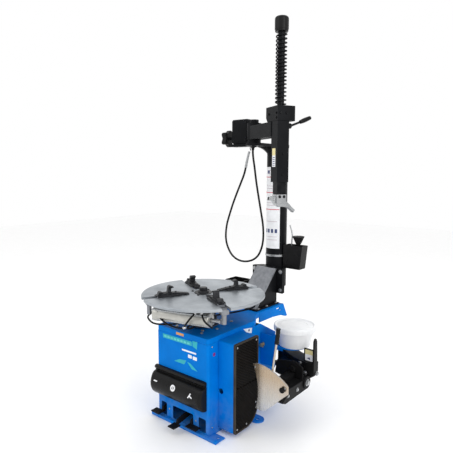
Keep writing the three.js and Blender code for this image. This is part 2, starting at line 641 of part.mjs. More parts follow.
// ---------------------------------------------------------------- inflation hose and chuck
const HOSE_ROUTE = [[-26, 1332.6], [-26, 1316], [-23, 1290], [-14, 1240], [-1, 1160], [15, 1080], [32, 1000],
  [46, 930], [50, 880], [48, 838], [38, 796], [14, 752], [-24, 724], [-76, 710], [-126, 714], [-168, 736],
  [-196, 772], [-212, 812], [-216, 852], [-208, 912], [-190, 966], [-166, 1028], [-138, 1090], [-106, 1156],
  [-84, 1204], [-74, 1238]];

function inflationLine() {
  const { plane, radius } = HOSE;
  add('inflation_hose', tube(HOSE_ROUTE.map(([x, z]) => [x, plane, z]), radius, 8, 44), rubber);
  const chuck = tube([[-73.6, plane, 1239], [-66, plane, 1272], [-58, plane + 2, 1306],
    [-53, plane + 4, 1326]], 7.5, 12, 4);
  add('air_chuck', chuck, steel);
}

frameAndCabinet();
padSide();
pedals();
drive();
turntable();
columnAndFoot();
swingTop();
toolPost();
beadBreaker();
bucketSet();
trays();
services();
inflationLine();

export default machine;
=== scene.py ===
"""Looks of the swing-arm tyre changer. Helpers take millimetres; Blender objects are in metres."""
import json
import math

import bmesh
import bpy
from mathutils import Matrix, Vector


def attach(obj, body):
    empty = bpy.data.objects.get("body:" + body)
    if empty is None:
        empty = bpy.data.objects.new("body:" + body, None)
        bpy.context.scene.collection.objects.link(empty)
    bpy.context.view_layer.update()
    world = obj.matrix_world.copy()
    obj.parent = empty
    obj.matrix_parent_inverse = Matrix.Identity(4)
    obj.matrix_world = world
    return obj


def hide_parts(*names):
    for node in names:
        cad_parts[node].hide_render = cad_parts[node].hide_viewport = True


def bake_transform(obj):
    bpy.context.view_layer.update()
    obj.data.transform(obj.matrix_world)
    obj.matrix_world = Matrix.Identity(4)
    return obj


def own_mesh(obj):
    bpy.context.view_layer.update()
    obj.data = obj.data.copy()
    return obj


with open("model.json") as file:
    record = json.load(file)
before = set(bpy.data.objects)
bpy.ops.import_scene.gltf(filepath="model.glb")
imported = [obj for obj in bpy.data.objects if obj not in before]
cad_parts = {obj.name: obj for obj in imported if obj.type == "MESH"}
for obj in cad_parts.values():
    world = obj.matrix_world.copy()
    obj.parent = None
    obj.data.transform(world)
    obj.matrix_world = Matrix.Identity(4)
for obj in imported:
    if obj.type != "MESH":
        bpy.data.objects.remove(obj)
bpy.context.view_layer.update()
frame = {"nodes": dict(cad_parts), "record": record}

MM = 0.001
MACHINE, TABLE, ARM = "machine", "turntable", "arm"
UP, TO_FRONT, TO_RIGHT, TO_LEFT = (0, 0, 1), (0, -1, 0), (1, 0, 0), (-1, 0, 0)


# ---- solids, in millimetres
def polar(radius, angle, centre=(0, 0)):
    """A point on a circle, with its angle in radians."""
    return centre[0] + radius * math.cos(angle), centre[1] + radius * math.sin(angle)


def arc(cx, cy, radius, start, end, steps=8):
    """Points of an arc, with its angles in degrees."""
    turns = [math.radians(start + (end - start) * i / steps) for i in range(steps + 1)]
    return [polar(radius, a, (cx, cy)) for a in turns]


def around(count):
    """Equal angles around a circle, in radians."""
    return [2 * math.pi * i / count for i in range(count)]


def bezier(p0, p1, p2, p3, steps=12):
    """Points of a cubic curve, without its first one."""
    points = []
    for i in range(1, steps + 1):
        t = i / steps
        w = ((1 - t) ** 3, 3 * t * (1 - t) ** 2, 3 * t * t * (1 - t), t ** 3)
        points.append(tuple(sum(wi * p[k] for wi, p in zip(w, (p0, p1, p2, p3))) for k in (0, 1)))
    return points


def curve_through(points, per_span=8):
    """A smooth centripetal Catmull-Rom curve through the points."""
    path = [Vector(p) for p in points]
    ends = [path[0] * 2 - path[1], *path, path[-1] * 2 - path[-2]]
    out = []
    for a, b, c, d in zip(ends, ends[1:], ends[2:], ends[3:]):
        t1 = math.sqrt(max((b - a).length, 1e-6))
        t2 = t1 + math.sqrt(max((c - b).length, 1e-6))
        t3 = t2 + math.sqrt(max((d - c).length, 1e-6))
        for i in range(per_span):
            t = t1 + (t2 - t1) * i / per_span
            a1 = a * ((t1 - t) / t1) + b * (t / t1)
            a2 = b * ((t2 - t) / (t2 - t1)) + c * ((t - t1) / (t2 - t1))
            a3 = c * ((t3 - t) / (t3 - t2)) + d * ((t - t2) / (t3 - t2))
            b1 = a1 * ((t2 - t) / t2) + a2 * (t / t2)
            b2 = a2 * ((t3 - t) / (t3 - t1)) + a3 * ((t - t1) / (t3 - t1))
            out.append(b1 * ((t2 - t) / (t2 - t1)) + b2 * ((t - t1) / (t2 - t1)))
    return [*out, path[-1]]


def smooth_outline(points):
    """A flat outline, rounded through its points."""
    return [(p.x, p.y) for p in curve_through([(a, b, 0) for a, b in points], 4)]


def loft(rings):
    """A closed solid through rings of equal length. A solid is (vertices, faces)."""
    n = len(rings[0])
    verts = [tuple(v) for ring in rings for v in ring]
    faces = [list(range(n))[::-1], list(range(len(verts) - n, len(verts)))]
    for r in range(len(rings) - 1):
        for i in range(n):
            j = (i + 1) % n
            faces.append([r * n + i, r * n + j, (r + 1) * n + j, (r + 1) * n + i])
    return verts, faces


PLANES = {"xy": lambda p, q, d: (p, q, d), "xz": lambda p, q, d: (p, d, q), "yz": lambda p, q, d: (d, p, q)}


def prism(points, low, high, plane="xy"):
    """An outline in the named plane, extruded from low to high along the third axis."""
    place = PLANES[plane]
    return loft([[place(p, q, d) for p, q in points] for d in (low, high)])


def block(low, high):
    (x0, y0, z0), (x1, y1, z1) = low, high
    return prism([(x0, y0), (x1, y0), (x1, y1), (x0, y1)], z0, z1)


def lathe(profile, centre=(0, 0), axis="z", sides=64):
    """A turned solid: profile is [(radius, place along the axis)], and the ends close on it."""
    place = PLANES[{"x": "yz", "y": "xz", "z": "xy"}[axis]]
    return loft([[place(*polar(radius, a, centre), along) for a in around(sides)]
        for radius, along in profile])


def pipe(outer, inner, low, high, centre=(0, 0), sides=64):
    """A ring or tube along Z, open at both ends."""
    verts, faces = lathe([(outer, low), (outer, high), (inner, high), (inner, low)], centre, sides=sides)
    last = 3 * sides
    closed = [[i, (i + 1) % sides, last + (i + 1) % sides, last + i][::-1] for i in range(sides)]
    return verts, faces[2:] + closed


def sweep(path, radius, sides=12):
    """A round tube along a path; radius is a number or one number for each point."""
    points = [Vector(p) for p in path]
    radii = radius if isinstance(radius, list) else [radius] * len(points)
    tangents = [(b - a).normalized() for a, b in zip([points[0], *points], [*points[1:], points[-1]])]
    tangents[-1] = (points[-1] - points[-2]).normalized()
    normal = tangents[0].orthogonal().normalized()
    rings = []
    for point, tangent, r in zip(points, tangents, radii):
        normal = (normal - tangent * normal.dot(tangent)).normalized()
        side = tangent.cross(normal)
        rings.append([point + (normal * math.cos(a) + side * math.sin(a)) * r for a in around(sides)])
    return loft(rings)


def merge(*solids):
    verts, faces = [], []
    for v, f in solids:
        faces += [[i + len(verts) for i in face] for face in f]
        verts += list(v)
    return verts, faces


def placed(solid, matrix):
    return [tuple(matrix @ Vector(v)) for v in solid[0]], solid[1]


def turned_about(solid, degrees, y=0.0):
    """The solid turned about a vertical axis through the origin, then moved along Y."""
    return placed(solid, Matrix.Translation((0, y, 0)) @ Matrix.Rotation(math.radians(degrees), 4, "Z"))


def on_table(solid, degrees=0):
    return turned_about(solid, TURN + degrees)


def on_arm(solid):
    return turned_about(solid, ARM_TURN, PIVOT_Y)


def facing(direction, at, roll=0.0):
    """A matrix that turns +Z towards the direction and moves the origin to the place."""
    turn = Vector(direction).to_track_quat("Z", "Y").to_matrix().to_4x4()
    return Matrix.Translation(at) @ turn @ Matrix.Rotation(math.radians(roll), 4, "Z")


def bolt(at, direction, size, washer=True):
    """A hexagon bolt head with a chamfer, with or without a washer."""
    flats = [(size * math.cos(math.radians(60 * i)), size * math.sin(math.radians(60 * i))) for i in range(6)]
    inner = [(0.86 * p, 0.86 * q) for p, q in flats]
    low, high = (1.2, 1.2 + size * 0.62)
    parts = [loft([[(p, q, low) for p, q in flats], [(p, q, high - 1) for p, q in flats],
        [(p, q, high) for p, q in inner]])]
    if washer:
        parts.append(lathe([(size * 1.3, 0), (size * 1.35, 0.5), (size * 1.3, 1.3)], sides=24))
    return placed(merge(*parts), facing(direction, at, roll=15.0))


def screw(at, direction, size):
    """A plain pan head screw."""
    dome = lathe([(size, 0), (size, 0.8), (size * 0.8, 1.7), (size * 0.45, 2.2)], sides=20)
    return placed(dome, facing(direction, at))


# ---- objects
def linked(name, data):
    """A new object for the data, in the scene."""
    obj = bpy.data.objects.new(name, data)
    bpy.context.scene.collection.objects.link(obj)
    return obj


def object_from(name, solid):
    mesh = bpy.data.meshes.new(name)
    mesh.from_pydata([tuple(Vector(v) * MM) for v in solid[0]], [], solid[1])
    tidy = bmesh.new()
    tidy.from_mesh(mesh)
    bmesh.ops.remove_doubles(tidy, verts=tidy.verts, dist=1e-6)
    bmesh.ops.recalc_face_normals(tidy, faces=tidy.faces)
    tidy.to_mesh(mesh)
    tidy.free()
    return linked(name, mesh)


def apply_modifiers(obj):
    graph = bpy.context.evaluated_depsgraph_get()
    mesh = bpy.data.meshes.new_from_object(obj.evaluated_get(graph))
    obj.modifiers.clear()
    obj.data = mesh


def boolean(obj, tool, operation):
    other = object_from("tool", tool)
    change = obj.modifiers.new("cut", "BOOLEAN")
    change.operation, change.object, change.solver = operation, other, "EXACT"
    apply_modifiers(obj)
    bpy.data.objects.remove(other)


def piece(name, solid, finish, body=MACHINE, bevel=0.0, steps=2, stands_for=(), cuts=(), keep=None, sharp=38):
    """A finished piece: cut, bevelled, shaded, with its material, riding on its body."""
    obj = object_from(name, solid)
    for tool in cuts:
        boolean(obj, tool, "DIFFERENCE")
    if keep:
        boolean(obj, keep, "INTERSECT")
    if bevel:
        edge = obj.modifiers.new("edge", "BEVEL")
        edge.width, edge.segments, edge.limit_method = bevel * MM, steps, "ANGLE"
        edge.angle_limit = math.radians(32)
        apply_modifiers(obj)
    obj.data.shade_smooth()
    obj.data.set_sharp_from_angle(angle=math.radians(sharp))
    obj.modifiers.new("normals", "WEIGHTED_NORMAL").keep_sharp = True
    obj.data.materials.clear()
    material, slot = finish
    obj.data.materials.append(material)
    if body:
        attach(obj, body)
    if stands_for:
        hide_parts(*stands_for)
    return obj


def stand_in(node, solid, finish, body=MACHINE, **how):
    """A piece in the place of the CAD node whose name it carries."""
    return piece(node + "_finished", solid, finish, body, stands_for=[node], **how)


def solid_of(node):
    """A CAD node's solid in millimetres, with its flat faces whole again."""
    mesh = frame["nodes"][node].data
    work = bmesh.new()
    work.from_mesh(mesh)
    bmesh.ops.remove_doubles(work, verts=work.verts, dist=2e-6)
    bmesh.ops.dissolve_limit(work, angle_limit=math.radians(0.6), verts=work.verts, edges=work.edges)
    work.verts.index_update()
    verts = [tuple(v.co / MM) for v in work.verts]
    faces = [[v.index for v in f.verts] for f in work.faces]
    work.free()
    return verts, faces


def body_of_node(node):
    return next(b for b, names in frame["record"]["behaviour"]["bodies"].items() if node in names)


def bevelled(node, finish, bevel, steps=2):
    """A CAD node's own solid, bevelled, on its own body."""
    return stand_in(node, solid_of(node), finish, body_of_node(node), bevel=bevel, steps=steps)


# ---- materials
class Nodes:
    """A short way to write a node tree."""

    def __init__(self, name):
        self.material = bpy.data.materials.new(name)
        self.material.use_nodes = True
        self.tree = self.material.node_tree
        self.shader = self.tree.nodes["Principled BSDF"]
        self.coords = self.add("ShaderNodeTexCoord").outputs["Object"]

    def add(self, kind, **values):
        node = self.tree.nodes.new(kind)
        for key, value in values.items():
            setattr(node, key, value)
        return node

    def link(self, a, b):
        self.tree.links.new(a, b)

    def noise(self, scale, detail=4.0, rough=0.55, stretch=(1, 1, 1), vector=None):
        where = self.add("ShaderNodeMapping")
        where.inputs["Scale"].default_value = stretch
        self.link(vector or self.coords, where.inputs["Vector"])
        node = self.add("ShaderNodeTexNoise")
        node.inputs["Scale"].default_value = scale
        node.inputs["Detail"].default_value = detail
        node.inputs["Roughness"].default_value = rough
        self.link(where.outputs["Vector"], node.inputs["Vector"])
        return node.outputs["Fac"]

    def remap(self, value, low, high, to_low=0.0, to_high=1.0):
        node = self.add("ShaderNodeMapRange")
        for key, number in zip(("From Min", "From Max", "To Min", "To Max"), (low, high, to_low, to_high)):
            node.inputs[key].default_value = number
        self.link(value, node.inputs["Value"])
        return node.outputs["Result"]

    def product(self, a, b):
        node = self.add("ShaderNodeMath", operation="MULTIPLY")
        self.link(a, node.inputs[0])
        self.link(b, node.inputs[1])
        return node.outputs[0]

    def mix(self, factor, a, b):
        node = self.add("ShaderNodeMix", data_type="RGBA")
        self.link(factor, node.inputs["Factor"])
        if isinstance(a, tuple):
            node.inputs[6].default_value = (*a, 1.0)
        else:
            self.link(a, node.inputs[6])
        node.inputs[7].default_value = (*b, 1.0)
        return node.outputs[2]

    def height(self):
        split = self.add("ShaderNodeSeparateXYZ")
        self.link(self.coords, split.inputs[0])
        return split.outputs[2]

    def bump(self, height, strength, distance=0.0006):
        node = self.add("ShaderNodeBump")
        node.inputs["Strength"].default_value = strength
        node.inputs["Distance"].default_value = distance
        self.link(height, node.inputs["Height"])
        self.link(node.outputs["Normal"], self.shader.inputs["Normal"])


def coating(name, slot, color, worn, roughness=0.35, metallic=0.0, blotch=7.0, grain=350.0, bump=0.12,
            dust=0.0, specular=0.5, spread=0.12, scuff=0.0, stretch=(1, 1, 1)):
    """A coated or moulded surface: cloudy colour, fine grain, scuffs, uneven gloss and dust low down."""
    n = Nodes(name)
    clouds = n.noise(blotch, 6.0, 0.6)
    tint = n.mix(n.remap(clouds, 0.35, 0.7), color, worn)
    if scuff:
        marks = n.noise(26.0, 8.0, 0.75, (1.0, 1.0, 3.5))
        bright = tuple(min(1.0, c * 1.8 + 0.08) for c in color)
        tint = n.mix(n.remap(marks, 0.66, 0.78, 0.0, scuff), tint, bright)
    if dust:
        height = n.remap(n.height(), 0.0, 0.22, dust, 0.0)
        patches = n.remap(n.noise(30.0, 5.0), 0.35, 0.7)
        tint = n.mix(n.product(height, patches), tint, (0.34, 0.32, 0.29))
    n.link(tint, n.shader.inputs["Base Color"])
    uneven = n.noise(blotch * 3.0, 6.0, 0.65)
    low, high = roughness - spread / 2, roughness + spread / 2
    n.link(n.remap(uneven, 0.3, 0.75, low, high), n.shader.inputs["Roughness"])
    n.bump(n.noise(grain, 3.0, 0.5, stretch), bump)
    n.shader.inputs["Metallic"].default_value = metallic
    n.shader.inputs["Specular IOR Level"].default_value = specular
    return n.material, slot


def machined(name, slot, color, dark, roughness=0.32, pattern="grain", scale=240.0, stretch=(1, 1, 1),
             painted_reflection=None):
    """Bare metal with lathe rings or a brushed grain, smears and small stains, and on request a painted
    reflection: a tint that fades in with height.
    """
    n = Nodes(name)
    if pattern == "rings":
        flat = n.add("ShaderNodeVectorMath", operation="MULTIPLY")
        n.link(n.coords, flat.inputs[0])
        flat.inputs[1].default_value = (1, 1, 0)
        length = n.add("ShaderNodeVectorMath", operation="LENGTH")
        n.link(flat.outputs[0], length.inputs[0])
        ring = n.add("ShaderNodeCombineXYZ")
        n.link(length.outputs["Value"], ring.inputs[0])
        lines = n.noise(scale, 6.0, 0.7, vector=ring.outputs[0])
    else:
        lines = n.noise(scale, 5.0, 0.65, stretch)
    clouds = n.noise(9.0, 7.0, 0.62)
    tint = n.mix(n.remap(clouds, 0.3, 0.72), color, dark)
    tint = n.mix(n.remap(lines, 0.35, 0.75, 0.0, 0.35), tint, dark)
    specks = n.noise(90.0, 6.0, 0.7)
    tint = n.mix(n.remap(specks, 0.62, 0.74, 0.0, 0.4), tint, tuple(c * 0.45 for c in dark))
    # Painted reflection: a tint that fades in above the first height and is full above the second.
    if painted_reflection:
        height = n.remap(n.height(), painted_reflection[0], painted_reflection[1])
        tint = n.mix(height, tint, painted_reflection[2])
    n.link(tint, n.shader.inputs["Base Color"])
    n.link(n.remap(lines, 0.25, 0.8, roughness - 0.08, roughness + 0.14), n.shader.inputs["Roughness"])
    n.bump(lines, 0.18, 0.0004)
    n.shader.inputs["Metallic"].default_value = 0.85
    return n.material, slot


def milky(name, slot):
    """Thin white pail plastic that lets some light through."""
    n = Nodes(name)
    tint = n.mix(n.remap(n.noise(14.0, 4.0), 0.3, 0.7), (0.84, 0.85, 0.86), (0.76, 0.77, 0.79))
    n.link(tint, n.shader.inputs["Base Color"])
    n.link(n.remap(n.noise(40.0, 4.0), 0.3, 0.7, 0.34, 0.46), n.shader.inputs["Roughness"])
    n.bump(n.noise(160.0, 3.0), 0.06)
    n.shader.inputs["Subsurface Weight"].default_value = 0.25
    n.shader.inputs["Subsurface Radius"].default_value = (0.02, 0.02, 0.02)
    n.shader.inputs["Subsurface Scale"].default_value = 0.3
    return n.material, slot


def printed(name, color, slot="white_plastic"):
    """Label film or print, a little uneven."""
    return coating("label_" + name, slot, color, tuple(c * 0.85 for c in color), 0.4, blotch=25.0, bump=0.03,
        spread=0.08)


BLUE = coating("blue_powder_coat", "blue_paint", (0.0, 0.19, 0.66), (0.0, 0.15, 0.55), 0.42, dust=0.22,
    bump=0.1, grain=420.0, scuff=0.03, specular=0.04)
BLACK = coating("black_enamel", "black_paint", (0.005, 0.0055, 0.0065), (0.01, 0.0105, 0.012), 0.34,
    bump=0.12, specular=0.07, scuff=0.05)
IRON_BLACK = coating("black_cast_paint", "black_paint", (0.005, 0.005, 0.0055), (0.012, 0.012, 0.012), 0.4,
    grain=180.0, bump=0.3, specular=0.08, scuff=0.08)
PLASTIC = coating("black_moulding", "black_plastic", (0.005, 0.005, 0.0055), (0.009, 0.009, 0.009), 0.3,
    grain=700.0, bump=0.14, specular=0.15)
RUBBER = coating("pad_rubber", "pad_rubber", (0.034, 0.029, 0.024), (0.06, 0.05, 0.04), 0.6, grain=500.0,
    bump=0.3, specular=0.12, blotch=16.0, scuff=0.1)
PAD_DARK = coating("pad_rib_rubber", "pad_rubber", (0.004, 0.0035, 0.003), (0.009, 0.007, 0.006), 0.6,
    grain=500.0, bump=0.3, specular=0.12, blotch=16.0)
HOSE_RUBBER = coating("hose_rubber", "soft_rubber", (0.005, 0.005, 0.0055), (0.01, 0.01, 0.01), 0.5,
    grain=900.0, bump=0.2, specular=0.15)
TABLE_STEEL = machined("turned_steel", "table_steel", (0.47, 0.5, 0.53), (0.24, 0.265, 0.29), 0.38, "rings",
    420.0)
STEEL = machined("ground_steel", "bright_steel", (0.52, 0.53, 0.54), (0.3, 0.31, 0.32), 0.26, scale=300.0)
ZINC = coating("mottled_zinc", "zinc", (0.27, 0.28, 0.3), (0.17, 0.18, 0.2), 0.4, metallic=0.55, blotch=38.0,
    grain=260.0, bump=0.25, spread=0.2)
JAW_STEEL = coating("jaw_steel", "dark_steel", (0.008, 0.0085, 0.01), (0.035, 0.036, 0.04), 0.4,
    metallic=0.3, blotch=60.0, grain=220.0, bump=0.35, scuff=0.25, specular=0.2)
DARK_STEEL = coating("blackened_steel", "dark_steel", (0.005, 0.0055, 0.0065), (0.014, 0.0145, 0.016), 0.32,
    metallic=0.2, blotch=30.0, grain=300.0, bump=0.2, scuff=0.08, specular=0.1)
CAST = coating("cast_iron", "grey_iron", (0.1, 0.105, 0.11), (0.16, 0.165, 0.17), 0.55, metallic=0.4,
    grain=150.0, bump=0.5)
HUB = coating("hub_black", "grey_iron", (0.018, 0.018, 0.02), (0.04, 0.04, 0.043), 0.45, grain=150.0,
    bump=0.4)
ALUMINIUM = machined("drawn_aluminium", "cast_aluminium", (0.58, 0.57, 0.53), (0.38, 0.375, 0.35), 0.36,
    scale=120.0, stretch=(0.1, 1, 1))
# The blade's tan upper part is a painted reflection that fades into grey lower down.
BLADE_STEEL = machined("blade_steel", "bright_steel", (0.7, 0.69, 0.67), (0.62, 0.61, 0.59), 0.24,
    scale=160.0, stretch=(1, 1, 0.05), painted_reflection=(0.16, 0.3, (0.5, 0.39, 0.28)))
ROD_STEEL = machined("handle_steel", "bright_steel", (0.62, 0.56, 0.47), (0.45, 0.4, 0.34), 0.3, scale=400.0)
RUSTY = coating("worn_rod_end", "bright_steel", (0.16, 0.055, 0.02), (0.28, 0.12, 0.05), 0.5, metallic=0.5,
    blotch=90.0, bump=0.4)
WHITE = milky("milky_pail", "white_plastic")
LABEL_WHITE = printed("white", (0.88, 0.89, 0.91))
LABEL_FAINT = printed("faint", (0.6, 0.52, 0.56))
LABEL_RED = printed("red", (0.62, 0.05, 0.08))
LABEL_NAVY = printed("navy", (0.03, 0.05, 0.16))
LABEL_TEAL = printed("teal", (0.0, 0.42, 0.5), "blue_paint")
LABEL_YELLOW = printed("yellow", (0.8, 0.7, 0.35))
LABEL_ORANGE = printed("orange", (0.75, 0.33, 0.08))
LABEL_PURPLE = printed("purple", (0.3, 0.02, 0.16))

# ---- sizes and places, as in the CAD source
HALF, LEFT, FRONT, SIDE_TOP, DECK_TOP = 161.0, -176.0, -146.0, 440.0, 467.0
TURN, TABLE_TOP, TABLE_RADIUS = 17.0, 628.0, 300.0
ARM_TURN, PIVOT_Y, REACH = -27.0, 405.0, 278.0
COLUMN_Y, COLUMN_RADIUS, COLUMN_TOP = 634.0, 60.0, 1351.0
HOSE_PLANE, HOSE_RADIUS, HOSE_LENGTH = 430.0, 5.5, 1.338
RAM_AXIS, KNOB_AXIS, BLADE_PIN = (280, 244), (432, 1400), (452, 262)
BRUSH_AT, BUCKET_AT = (146, 640), (315, 337)
POST_FACE = 31.6  # just off the tool post's faces, where its bolts stand
# The jaws whose bodies carry each clamping cylinder's barrel and rod.
BARREL_BODY, ROD_BODY = {"a": "jaw_a", "b": "jaw_c"}, {"a": "jaw_b", "b": "jaw_d"}


# ---- camera and light
def camera():
    """The viewing angle: yaw from +Y towards -X, pitch down, and a small roll."""
    yaw, pitch, roll = 0.692, 0.114, 0.003
    forward = Vector((-math.sin(yaw) * math.cos(pitch), math.cos(yaw) * math.cos(pitch), -math.sin(pitch)))
    level = Vector((math.cos(yaw), math.sin(yaw), 0))
    right = level * math.cos(roll) + level.cross(forward) * math.sin(roll)
    data = bpy.data.cameras.new("camera")
    data.lens, data.sensor_width = 37.1, 36.0
    obj = linked("camera", data)
    turn = Matrix((right, right.cross(forward), -forward)).transposed().to_4x4()
    obj.matrix_world = Matrix.Translation((1.5077, -1.6444, 1.2072)) @ turn
    bpy.context.scene.camera = obj


def area_light(name, at, target, size, energy):
    data = bpy.data.lights.new(name, "AREA")
    data.shape, data.size, data.energy = "DISK", size, energy
    obj = linked(name, data)
    aim = (Vector(target) - Vector(at)).to_track_quat("-Z", "Y").to_matrix().to_4x4()
    obj.matrix_world = Matrix.Translation(at) @ aim


def studio():
    world = bpy.data.worlds.new("studio")
    bpy.context.scene.world = world
    world.use_nodes = True
    background = world.node_tree.nodes["Background"]
    background.inputs[0].default_value = (1.0, 1.0, 1.0, 1)
    background.inputs[1].default_value = 1.0
    bpy.context.scene.view_settings.view_transform = "Standard"
    for name, at, size, energy in (("key", (-1.6, -3.0, 3.4), 2.4, 20), ("fill", (3.4, -0.9, 2.4), 2.0, 34),
                                   ("top", (0.3, 0.2, 4.2), 2.2, 10), ("rim", (-1.5, 3.2, 2.8), 1.8, 10)):
        area_light(name, at, (0.0, 0.1, 0.6), size, energy)
    corners = [(-9000, -9000, -1), (9000, -9000, -1), (9000, 9000, -1), (-9000, 9000, -1)]
    floor = object_from("floor", (corners, [[0, 1, 2, 3]]))
    paint = coating("floor_paint", "", (0.98, 0.98, 0.98), (0.96, 0.96, 0.96), 0.6, bump=0.02)[0]
    floor.data.materials.append(paint)


# ---- inflation hose
HOSE_ROUTE = [(-26, 1332.6), (-26, 1316), (-23, 1290), (-14, 1240), (-1, 1160), (15, 1080), (32, 1000),
    (46, 930), (50, 880), (48, 838), (38, 796), (14, 752), (-24, 724), (-76, 710), (-126, 714), (-168, 736),
    (-196, 772), (-212, 812), (-216, 852), (-208, 912), (-190, 966), (-166, 1028), (-138, 1090),
    (-106, 1156), (-84, 1204), (-74, 1238)]


def inflation_line():
    """The hose hangs in one loop from the bracket's union to the chuck, which hangs on a hook."""
    line = curve_through([(x, HOSE_PLANE, z) for x, z in HOSE_ROUTE], 6)
    chuck_path = curve_through([(-73.6, HOSE_PLANE, 1238.4), (-66, HOSE_PLANE, 1272),
        (-58, HOSE_PLANE + 2, 1306), (-53, HOSE_PLANE + 4, 1326)], 8)
    radii = [7.4 if i in (0, 1, 2, 3, 6, 7) else 6.3 for i in range(len(chuck_path))]
    chuck = stand_in("air_chuck", sweep(chuck_path, radii, 20), STEEL)
    hose = stand_in("inflation_hose", sweep(line, HOSE_RADIUS, 16), HOSE_RUBBER, sharp=60)


# ---- cabinet
def cabinet():
    r, sheet, wrap, foot = 12, 3, -126, 6.4
    outer = [(LEFT, wrap), *arc(LEFT + r, FRONT + r, r, 180, 270), *arc(HALF - r, FRONT + r, r, 270, 360),
        (HALF, wrap)]
    inner = [(HALF - sheet, wrap), *arc(HALF - r, FRONT + r, r - sheet, 360, 270),
        *arc(LEFT + r, FRONT + r, r - sheet, 270, 180), (LEFT + sheet, wrap)]
    slots = [prism(rounded(x0, x1, 16, 82, 7), FRONT - 10, FRONT + 10, "xz")
        for x0, x1 in ((-150, -112), (-70, 66), (100, 146))]
    piece("cabinet_front", prism(outer + inner, foot, SIDE_TOP), BLUE, bevel=0.8, stands_for=["front_panel"],
        cuts=slots)
    side = [(wrap + 0.5, foot), (372, foot), (396, 362), (258, SIDE_TOP), (wrap + 0.5, SIDE_TOP)]
    ram_hole = lathe([(17, 100), (17, 200)], RAM_AXIS, "x")
    piece("cabinet_side_right", prism(side, HALF - sheet, HALF, "yz"), BLUE, bevel=0.8,
        stands_for=["side_panel_right"], cuts=[ram_hole])
    piece("cabinet_side_left", prism(side, LEFT, LEFT + sheet, "yz"), BLUE, bevel=0.8,
        stands_for=["side_panel_left"])
    bevelled("base_frame", BLUE, 1.2)
    bevelled("rear_cover", ZINC, 0.6)
    bevelled("rear_beam", BLUE, 3.0)
    bevelled("bucket_shelf", BLUE, 1.5)
    deck()


def rounded(p0, p1, q0, q1, r, steps=6):
    """A rectangle with round corners."""
    return [*arc(p1 - r, q0 + r, r, 270, 360, steps), *arc(p1 - r, q1 - r, r, 0, 90, steps),
        *arc(p0 + r, q1 - r, r, 90, 180, steps), *arc(p0 + r, q0 + r, r, 180, 270, steps)]


def card(p0, p1, q0, q1, low, high, r=2, plane="xz"):
    """A thin rectangle with round corners."""
    return prism(rounded(p0, p1, q0, q1, r, steps=3), low, high, plane)


def deck_outline(inset):
    w, f, r, neck, back = HALF - inset, FRONT + inset, 14 - inset, 98 - inset, 334.6 - inset
    side = bezier((w, 190), (w, 260), (neck, 250), (neck, back))
    right = [*arc(w - r, f + r, r, 270, 360), (w, 190), *side]
    # The left half mirrors the right one, and in front of the neck it widens out to the left wall.
    skew = HALF + LEFT
    left = [(-x + skew * min(1.0, max(0.0, (x - neck) / (w - neck))), y) for x, y in reversed(right)]
    return right + left


def deck():
    top = prism(deck_outline(0), SIDE_TOP + 0.4, DECK_TOP)
    hollows = [prism(deck_outline(6), 430, DECK_TOP - 6), lathe([(51, 430), (51, 480)])]
    stand_in("deck", top, BLUE, bevel=5, steps=4, cuts=hollows)
    heads = [bolt((*polar(96, math.radians(39.5 + 45 * i)), DECK_TOP), UP, 6.5) for i in range(8)]
    heads += [bolt((x, y, DECK_TOP), UP, 6) for x, y in ((77, 123), (-77, 123), (81, -101), (-81, -101))]
    piece("deck_bolts", merge(*heads), STEEL, bevel=0.3, steps=1)


def cabinet_marks():
    """Generic bands and marks, with no lettering."""
    y = FRONT - 0.5

    def mark(name, *outlines, finish=LABEL_TEAL):
        piece(name, merge(*(prism(points, y, FRONT + 0.3, "xz") for points in outlines)), finish)

    mark("front_band", [(-135, 431), (60, 434), (60, 413), (-132, 411)])
    mark("front_flag", [(64, 439), (96, 440), (92, 404), (66, 413)])
    dashes = [card(x, x + 16, 416.5, 425.5, y - 0.3, y + 0.1) for x in range(-124, 40, 22)]
    piece("front_band_dashes", merge(*dashes), printed("mint", (0.1, 0.6, 0.6)))
    boxes = ((-4, 88, 378, 386), (36, 60, 352, 368), (66, 92, 350, 366))
    mark("front_bars", *(rounded(*box, 3, 3) for box in boxes), finish=LABEL_WHITE)
    mark("front_swoosh", [(-58, 312), (-20, 330), (24, 334), (10, 312)],
        [(30, 330), (52, 326), (96, 300), (60, 302)])
    mark("deck_tag", rounded(-42, 8, 447, 459, 2, 3), finish=LABEL_ORANGE)
    piece("side_tag", card(-112, -98, 379, 394, HALF - 0.2, HALF + 0.5, plane="yz"), LABEL_PURPLE)
    triangle = [(112, 449), (183, 438), (180, 412), (146, 418)]
    piece("side_triangle", prism(triangle, HALF - 0.2, HALF + 0.5, "yz"), LABEL_WHITE)
    piece("side_triangle_dot", prism(arc(158, 431, 6, 0, 348, 29), HALF + 0.4, HALF + 0.8, "yz"), LABEL_NAVY)
    heads = [screw((x, FRONT, 57), TO_FRONT, 4.5) for x in (-93, 83)]
    for x, way, last in ((HALF, TO_RIGHT, [(240, 40), (350, 40)]), (LEFT, TO_LEFT, [(340, 40), (100, 425)])):
        heads += [screw((x, q, z), way, 4) for q, z in ((-118, 425), (-118, 40), *last)]
    piece("panel_screws", merge(*heads), STEEL)
    shelf_plate = prism([(161.8, 232), (252, 232), (252, 392), (161.8, 392)], 256, 260, "xz")
    piece("shelf_front_plate", shelf_plate, BLUE, bevel=1.0)
    fitting = lathe([(4, 228), (8, 230), (8, 238), (6, 239), (6, 248), (10, 249), (10, 256)], (180, 338),
        "y", 24)
    brass = machined("brass_fitting", "bright_steel", (0.78, 0.6, 0.34), (0.5, 0.37, 0.18))
    piece("side_fitting", merge(fitting, block((170, 236, 326), (190, 246, 333))), brass, bevel=0.6)


